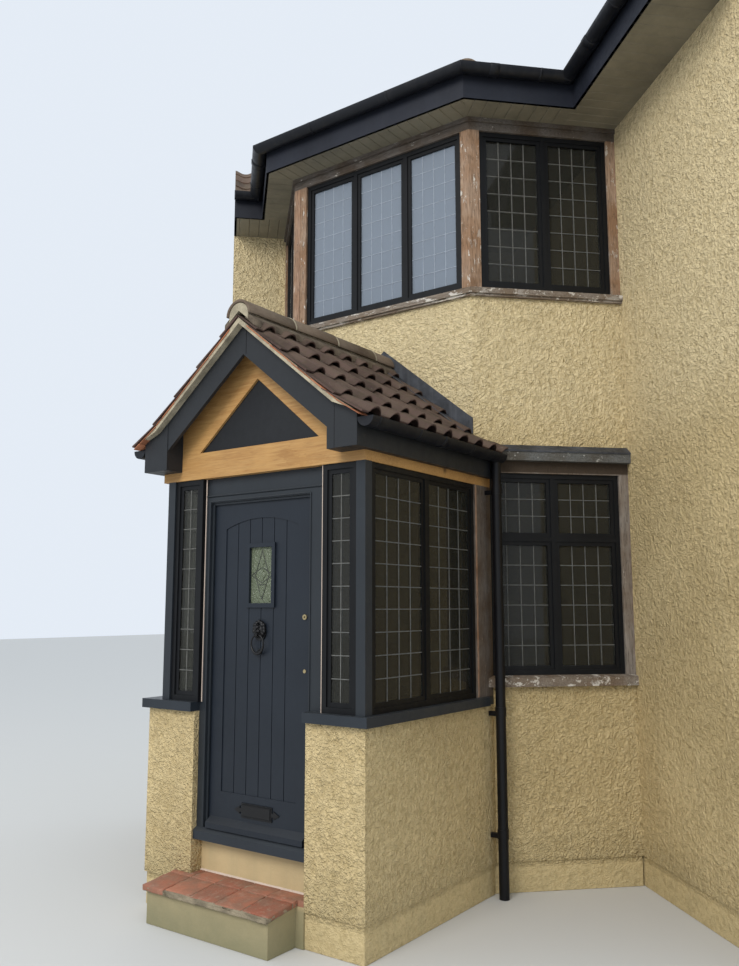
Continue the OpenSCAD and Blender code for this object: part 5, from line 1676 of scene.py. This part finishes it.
class BAY_OT_letter_edges(bpy.types.Operator):
    """Adds the raised lips of the letter plate's flap"""
    bl_idname = "bay.letter_edges"
    bl_label = "Letter Plate Lips"

    def execute(self, context):
        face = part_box("letter_plate")[0][1]
        lips = [bar("lip", (DOOR_X - FLAP_HALF, z), (DOOR_X + FLAP_HALF, z), 0.004, 0.003,
                    face + HAIR) for z in FLAP_Z]
        finish(joined(lips, "letter_lips"), "door", "iron")
        return {"FINISHED"}


# Stage
class BayStageSettings(bpy.types.PropertyGroup):
    """Floor, light and camera"""
    sky: bpy.props.FloatProperty(name="Sky", default=1.1, description="Strength of the soft sky")
    key: bpy.props.FloatProperty(name="Key Light", default=1200.0, unit="POWER",
                                 description="Power of the large soft lamp")
    lens: bpy.props.FloatProperty(name="Lens", default=32.8, unit="CAMERA",
                                  description="Focal length on a 36 mm sensor")


CAMERA_PLACE = (3.83, -5.45, 1.9)
CAMERA_TURN = (98.02, 0, 35.84)
BACKDROP = (0.78, 0.84, 0.92)


def make_world(settings):
    """A plain soft sky: pale to the camera, even light on the object."""
    world = bpy.data.worlds.new("soft_sky")
    bpy.context.scene.world = world
    world.use_nodes = True
    tree = world.node_tree
    light = tree.nodes["Background"]
    light.inputs["Color"].default_value = (0.88, 0.94, 1.0, 1.0)
    light.inputs["Strength"].default_value = settings.sky
    paths = put(tree, "ShaderNodeLightPath")
    seen = math_node(tree, "MAXIMUM", paths.outputs["Is Camera Ray"], math_node(
        tree, "MAXIMUM", paths.outputs["Is Transmission Ray"], paths.outputs["Is Glossy Ray"]))
    backdrop = put(tree, "ShaderNodeBackground", {"Color": BACKDROP + (1.0,), "Strength": 1.0})
    mixer = put(tree, "ShaderNodeMixShader", {0: seen})
    tree.links.new(light.outputs[0], mixer.inputs[1])
    tree.links.new(backdrop.outputs[0], mixer.inputs[2])
    tree.links.new(mixer.outputs[0], tree.nodes["World Output"].inputs["Surface"])


class BAY_OT_stage(bpy.types.Operator):
    """Sets the floor, the soft light and the camera"""
    bl_idname = "bay.stage"
    bl_label = "Floor, Light and Camera"

    def execute(self, context):
        settings = context.scene.bay_stage
        clear()
        bpy.ops.mesh.primitive_plane_add(size=90, location=(0, 0, -0.002))
        floor = settle(bpy.context.object)
        floor.name = "floor"
        material, tree, shader, place = surface("pale_floor", Roughness=0.9)
        shader.inputs["Base Color"].default_value = (0.56, 0.56, 0.55, 1.0)
        floor.data.materials.append(material)
        bpy.ops.object.light_add(type="AREA", location=(1.5, -13, 10))
        lamp = bpy.context.object
        lamp.name = "key_light"
        lamp.data.energy = settings.key
        lamp.data.size = 6
        lamp.data.color = (1.0, 0.96, 0.9)
        aim = Vector((0, 0, 3)) - lamp.location
        lamp.rotation_euler = aim.to_track_quat("-Z", "Y").to_euler()
        make_world(settings)
        bpy.ops.object.camera_add(location=CAMERA_PLACE,
                                  rotation=[math.radians(part) for part in CAMERA_TURN])
        camera = bpy.context.object
        camera.data.lens = settings.lens
        camera.data.sensor_width = 36
        camera.data.dof.use_dof = False
        context.scene.camera = camera
        context.scene.view_settings.view_transform = "Standard"
        return {"FINISHED"}


OPERATORS = (BAY_OT_finishes, BAY_OT_upper_panes, BAY_OT_leads, BAY_OT_soffit,
             BAY_OT_porch_tiles, BAY_OT_porch_ridge, BAY_OT_verges, BAY_OT_bay_tiles, BAY_OT_step,
             BAY_OT_sealant, BAY_OT_door_mouldings, BAY_OT_barge_plates, BAY_OT_post_strips,
             BAY_OT_gutter_fittings, BAY_OT_knocker, BAY_OT_door_light, BAY_OT_letter_edges,
             BAY_OT_stage)
SETTINGS = (("bay_leads", BayLeadSettings), ("bay_soffit", BaySoffitSettings),
            ("bay_roof", BayRoofSettings), ("bay_step", BayStepSettings),
            ("bay_door", BayDoorSettings), ("bay_stage", BayStageSettings))


class BAY_PT_panel(bpy.types.Panel):
    """Lists the pieces of the bay and the porch"""
    bl_label = "Bay and Porch"
    bl_idname = "BAY_PT_panel"
    bl_space_type = "VIEW_3D"
    bl_region_type = "UI"
    bl_category = "Bay and Porch"

    def draw(self, context):
        for operator in OPERATORS:
            self.layout.operator(operator.bl_idname)
        for name, group_type in SETTINGS:
            box = self.layout.box()
            for setting in group_type.__annotations__:
                box.prop(getattr(context.scene, name), setting)


def register():
    for name, group_type in SETTINGS:
        bpy.utils.register_class(group_type)
        setattr(bpy.types.Scene, name, bpy.props.PointerProperty(type=group_type))
    for operator in OPERATORS:
        bpy.utils.register_class(operator)
    bpy.utils.register_class(BAY_PT_panel)


def unregister():
    bpy.utils.unregister_class(BAY_PT_panel)
    for operator in reversed(OPERATORS):
        bpy.utils.unregister_class(operator)
    for name, group_type in reversed(SETTINGS):
        delattr(bpy.types.Scene, name)
        bpy.utils.unregister_class(group_type)


def main():
    """Builds every piece in order."""
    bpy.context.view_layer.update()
    register()
    for operator in OPERATORS:
        area, name = operator.bl_idname.split(".")
        result = getattr(getattr(bpy.ops, area), name)()
        if "FINISHED" not in result:
            raise RuntimeError(operator.bl_label + " could not be finished")
    clear()


if __name__ == "__main__":
    main()
